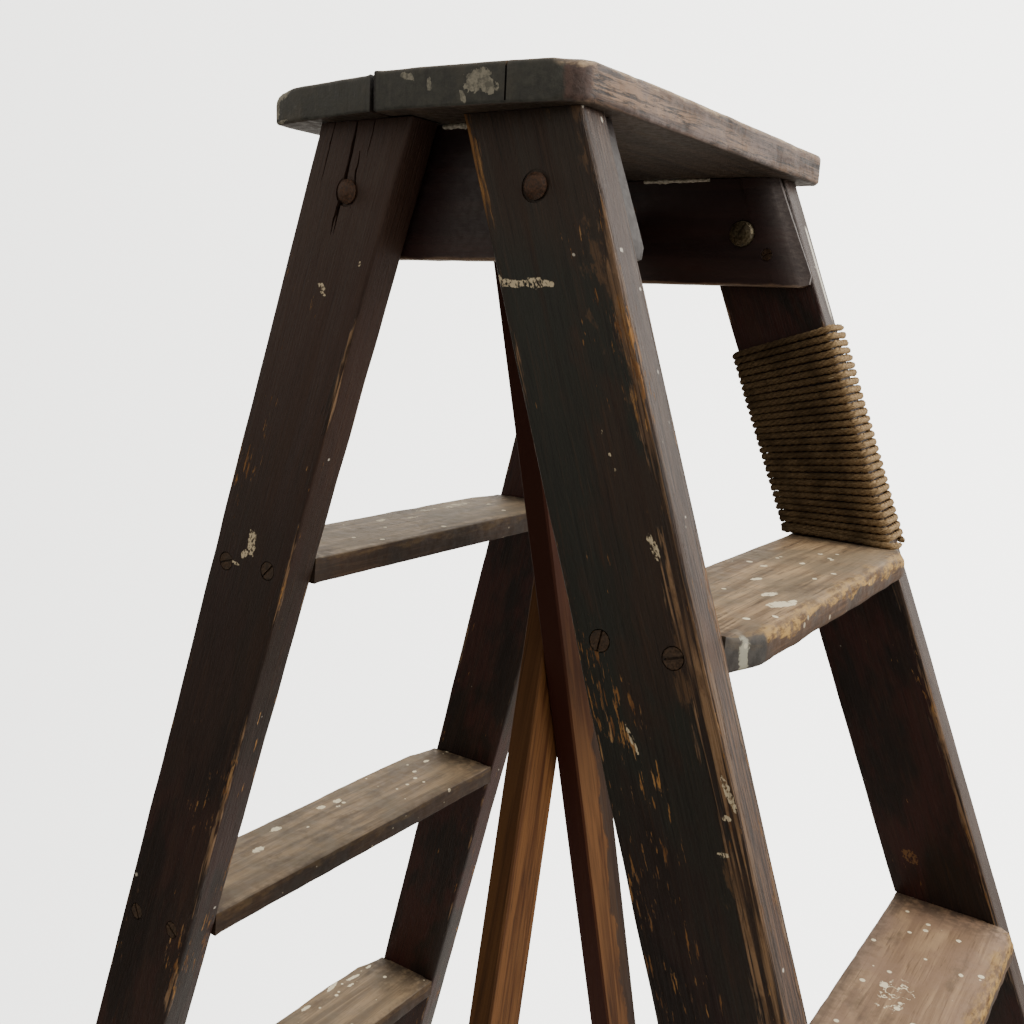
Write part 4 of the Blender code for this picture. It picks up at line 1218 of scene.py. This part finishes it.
def rope_line():
    """Centre line of the binding, as in the CAD part, with points every few millimetres."""
    lean = math.cos(math.atan(FRONT["lean"]))
    off = ROPE_R + GAP + 0.0001
    off_x, off_y = off / lean, off * 1.003
    wide = FRONT["wide"]
    ring = []
    radius = off + 0.0008
    for cx, cy, start in stile_corners(wide):
        sx, sy = (1 if cx else -1), (1 if cy else -1)
        mx, my = cx + sx * (off_x - radius), cy + sy * (off_y - radius)
        ring += quarter_arc(mx, my, radius, start)
    low = FRONT["first"] - ROPE_R - GAP - 0.0003
    count = len(ring) * ROPE_TURNS
    corners = []
    for i in range(count + 1):
        t = i / count
        p, q = ring[i % len(ring)]
        depth = low + (ROPE_TOP - low) * t - ROPE_TILT * t * (p - wide / 2)
        corners.append(on_far_stile(p, q, depth))
    line = [corners[0]]
    for a, b in zip(corners, corners[1:]):
        parts = max(1, round((b - a).length / 0.0024))
        for k in range(1, parts + 1):
            line.append(a.lerp(b, k / parts))
    return line


def tail_line():
    """Last half turn of the cord, lying on the tread, with its cut end at the front corner."""
    depth = FRONT["first"] - 0.0029
    wide = FRONT["wide"]
    corners = [(-0.0036, 0.01), (-0.0036, 0.002), (-0.002, -0.003), (0.004, -0.004), (wide * 0.35, -0.0042),
               (wide * 0.7, -0.004), (wide - 0.004, -0.0042), (wide + 0.002, -0.0036), (wide + 0.0045, 0.0005),
               (wide + 0.0052, 0.006)]
    line = []
    for i in range(len(corners) - 1):
        for k in range(8):
            f = k / 8
            p = corners[i][0] + (corners[i + 1][0] - corners[i][0]) * f
            q = corners[i][1] + (corners[i + 1][1] - corners[i][1]) * f
            line.append(on_far_stile(p, q, depth - 0.0006 * math.sin(p * 60)))
    return line


def strands(name, line, mat):
    """Three laid strands along a centre line."""
    axis = (world(edge_x(FRONT, 0.24), 0.24) - world(edge_x(FRONT, 0.1), 0.1)).normalized()
    curve = bpy.data.curves.new(name, "CURVE")
    curve.dimensions = "3D"
    curve.bevel_depth, curve.bevel_resolution, curve.use_fill_caps = STRAND_R, 1, True
    far, ways = 0.0, []
    for i, p in enumerate(line):
        along = (line[min(i + 1, len(line) - 1)] - line[max(i - 1, 0)]).normalized()
        side = along.cross(axis).normalized()
        ways.append((p, side, side.cross(along).normalized(), far))
        if i + 1 < len(line):
            far += (line[i + 1] - p).length
    for strand in range(3):
        sp = curve.splines.new("POLY")
        sp.points.add(len(ways) - 1)
        for point, (p, s, t, d) in zip(sp.points, ways):
            a = 2 * math.pi * (d / STRAND_LAY + strand / 3)
            r = STRAND_OFF * (1 + 0.14 * wob(d * 60, strand * 7.0))
            push = 0.00045 * wob(d * 9, 5.0)
            q = p + s * (r * math.cos(a)) + t * (r * math.sin(a) + push)
            point.co = (*q, 1.0)
            point.radius = 1.0 + 0.14 * wob(d * 130, strand * 3.0)
    ob = add_object(name, curve)
    curve.materials.append(mat)
    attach(ob, "front_frame")
    return ob, ways


def rope():
    mat = jute("jute", (0.046, 0.029, 0.014), (0.185, 0.128, 0.068))
    pale = jute("jute_fibre", (0.2, 0.14, 0.075), (0.46, 0.35, 0.21))
    ob, ways = strands("rope_strands", rope_line(), mat)
    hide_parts("rope_binding")
    tail_ways = strands("rope_tail", tail_line(), mat)[1]

    hair = bpy.data.curves.new("rope_fibres", "CURVE")
    hair.dimensions = "3D"
    hair.bevel_depth, hair.bevel_resolution = HAIR_R, 0
    for n in range(ROPE_HAIRS + TAIL_HAIRS):
        p, s, t, _ = rnd.choice(ways if n < ROPE_HAIRS else tail_ways[-TAIL_END:])
        along = s.cross(t)
        start = p + s * 0.0022 + t * rnd.uniform(-0.0014, 0.0014)
        way = (s * rnd.uniform(0.15, 0.9) + along * rnd.uniform(-1, 1) + t * rnd.uniform(-0.8,
                                                                                         0.8)).normalized()
        size = rnd.uniform(0.003, 0.01)
        bend = Vector((rnd.uniform(-1, 1), rnd.uniform(-1, 1), rnd.uniform(-1, 0.6))) * 0.4
        sp = hair.splines.new("POLY")
        sp.points.add(4)
        for k, point in enumerate(sp.points):
            f = k / 4
            point.co = (*(start + way * size * f + bend * size * f * f), 1.0)
            point.radius = 1.0 - 0.6 * f
    fuzz = add_object("rope_fibres", hair)
    hair.materials.append(pale)
    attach(fuzz, "front_frame")


camera()
surroundings()
ladders()
treads()
platform()
cheeks()
filler_beads()
fixings()
brace()
rope()
